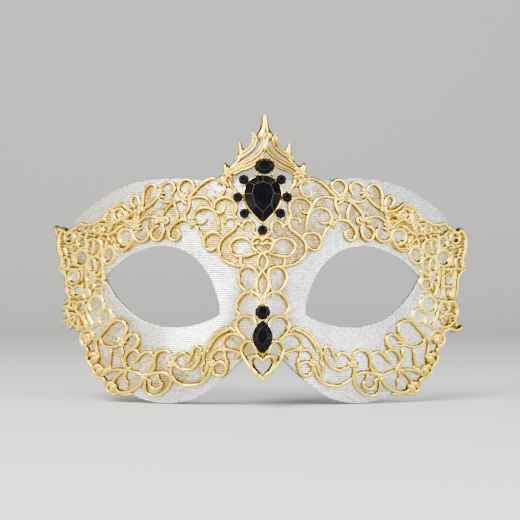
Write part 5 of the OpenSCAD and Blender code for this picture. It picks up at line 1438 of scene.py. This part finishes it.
ns = Stock()
b = seat0 + 1.2
E2 = ellipse(7.2, 7.2)
tube(ns, 0, -21.6, E2, [(-1.2, b), (0.05, b), (0.32, b + 0.3), (0.36, b + 1.0), (0.24, b + 1.2), (0.04, b + 1.05), (0, b + 0.55), (-1.2, b + 0.5)], 44)
tube(ns, 0, -21.6, ellipse(5.4, 5.4), [(0, seat0), (0, b), (-0.8, b), (-0.8, seat0)], 28)
for k in range(4):
    prong(ns, 0, -21.6, E2, (k + 0.5) / 4, b + 0.2, b + 1.7, 0.5, 0.28)
piece("nose_round_cup", ns, GOLD, ["nose_round_setting"])

ms = Stock()
tube(ms, 0, -46.8, MARQUISE, [(-1.0, b), (0.02, b), (0.3, b + 0.3), (0.34, b + 1.05), (0.22, b + 1.25), (0.03, b + 1.1), (-0.02, b + 0.55), (-1.0, b + 0.5)], 64)
small = [[p[0] * 0.78, p[1] * 0.78] for p in MARQUISE]
tube(ms, 0, -46.8, small, [(0, seat0), (0, b), (-0.8, b), (-0.8, seat0)], 40)
for t in (0.0, 0.5, 0.25, 0.75):
    prong(ms, 0, -46.8, MARQUISE, t, b + 0.3, b + 1.8, 0.55, 0.28)
piece("marquise_cup", ms, GOLD, ["marquise_setting"])

# how densely the gold lies over each point of the cloth, which sets the painted reflection of the gold on it
from mathutils.kdtree import KDTree
laid = np.vstack(LACE + [np.array(p) for p, _, _ in strands])
laid = np.vstack([laid, laid * [-1, 1]])[::2]
tree = KDTree(len(laid))
for k, q in enumerate(laid):
    tree.insert((q[0] * G, q[1] * G, 0.0), k)
tree.balance()
co_ = np.empty(len(cloth_ob.data.vertices) * 3)
cloth_ob.data.vertices.foreach_get("co", co_)
co_ = co_.reshape(-1, 3) / MM
painted_gold_reflection = []
for cx_, cy_, cz_ in co_:
    hits = [h_[0] for h_ in tree.find_range((cx_, cz_, 0.0), 4.2)]
    if len(hits) < 5:
        painted_gold_reflection.append(0.0)
        continue
    ox_ = sum(h_[0] for h_ in hits) / len(hits) - cx_
    oz_ = sum(h_[1] for h_ in hits) / len(hits) - cz_
    near_ = min(1.0, (len(hits) - 4) / 9.0) * min(1.0, max(0.0, 1.5 - math.hypot(ox_, oz_) / 4.2 * 2.4))
    # the painted reflection is made weaker on the right and below the eyes, as the light falls differently there
    side_ = 0.5 + 0.5 * math.tanh(cx_ / 12.0)          # 0 left, 1 right
    low_ = 0.5 - 0.5 * math.tanh((cz_ + 4.0) / 6.0)    # 0 above the eyes, 1 below
    far_ = 0.5 + 0.5 * math.tanh((abs(cx_) - 42.0) / 8.0)
    painted_gold_reflection.append(near_ * (1.0 - 0.72 * side_ * low_ - 0.14 * side_ * (1 - low_) - 0.28 * (1 - side_) * low_ * far_))
at_w = cloth_ob.data.attributes.new("painted_gold_reflection", "FLOAT", "POINT")
at_w.data.foreach_set("value", painted_gold_reflection)

# ---------------------------------------------------------------- eyelets keep their CAD shape
for nm in ("ribbon_eyelet_left", "ribbon_eyelet_right", "eyelet_washer_left", "eyelet_washer_right"):
    ob = bpy.data.objects.get(nm)
    if ob is None:
        continue
    for k in range(max(1, len(ob.material_slots))):
        if k < len(ob.material_slots):
            ob.material_slots[k].material = EYELET
        else:
            ob.data.materials.append(EYELET)

# ---------------------------------------------------------------- stage
def stage_mat():
    m, nt, b = nodes_of("stage_paper")
    b.inputs["Base Color"].default_value = (0.46, 0.46, 0.457, 1)
    b.inputs["Roughness"].default_value = 0.85
    return m


floor_z = -0.0498
prof = [(-2.6, floor_z), (0.9, floor_z)] + [(0.9 + 0.6 * math.sin(a), floor_z + 0.6 * (1 - math.cos(a))) for a in np.linspace(0.1, math.pi / 2, 18)] + [(1.5, 3.2)]
V, F = [], []
for (y, z) in prof:
    V += [(-4.5, y, z), (4.5, y, z)]
for i in range(len(prof) - 1):
    F.append((2 * i, 2 * i + 1, 2 * i + 3, 2 * i + 2))
me = bpy.data.meshes.new("floor_sweep")
me.from_pydata(V, [], F)
me.polygons.foreach_set("use_smooth", [True] * len(me.polygons))
fl = bpy.data.objects.new("floor_sweep", me)
bpy.context.scene.collection.objects.link(fl)
me.materials.append(stage_mat())

cam = bpy.data.cameras.new("camera")
cam.lens = 146.3
cam.sensor_width = 36
cam.clip_start = 0.01
co = bpy.data.objects.new("camera", cam)
bpy.context.scene.collection.objects.link(co)
co.location = (-0.00107, -0.9, 0.0128)
co.rotation_euler = (math.pi / 2, 0, 0)
bpy.context.scene.camera = co


def area_light(name, loc, target, size, power, colour=(1, 1, 1), size_y=None):
    l = bpy.data.lights.new(name, "AREA")
    l.shape = "RECTANGLE"
    l.size = size
    l.size_y = size_y or size
    l.energy = power
    l.color = colour
    o = bpy.data.objects.new(name, l)
    bpy.context.scene.collection.objects.link(o)
    o.location = loc
    d = np.array(target) - np.array(loc)
    from mathutils import Vector
    o.rotation_euler = Vector(d.tolist()).to_track_quat("-Z", "Y").to_euler()
    return o


area_light("front_panel", (-0.22, -1.70, 0.24), (0, 0, 0.0), 1.2, 17.0, size_y=0.5)
area_light("key", (-0.45, -0.68, 0.88), (0, 0, 0.01), 0.8, 58.0)
area_light("fill", (0.80, -0.60, 0.40), (0, 0, 0.0), 0.6, 15.0)
area_light("low_right", (0.55, -0.95, 0.12), (0.04, 0, -0.01), 0.5, 7.0)
area_light("left", (-0.88, -0.42, 0.12), (0, 0, 0.0), 0.5, 5.0, (1.0, 0.88, 0.60))
area_light("side_right", (0.95, 0.06, 0.12), (0, 0, 0.0), 0.66, 6.0)
area_light("side_left", (-0.95, 0.06, 0.12), (0, 0, 0.0), 0.66, 5.0, (1.0, 0.87, 0.56))
w = bpy.data.worlds.new("studio")
bpy.context.scene.world = w
w.use_nodes = True
bg = w.node_tree.nodes.get("Background")
bg.inputs[0].default_value = (0.60, 0.60, 0.60, 1)
bg.inputs[1].default_value = 0.16
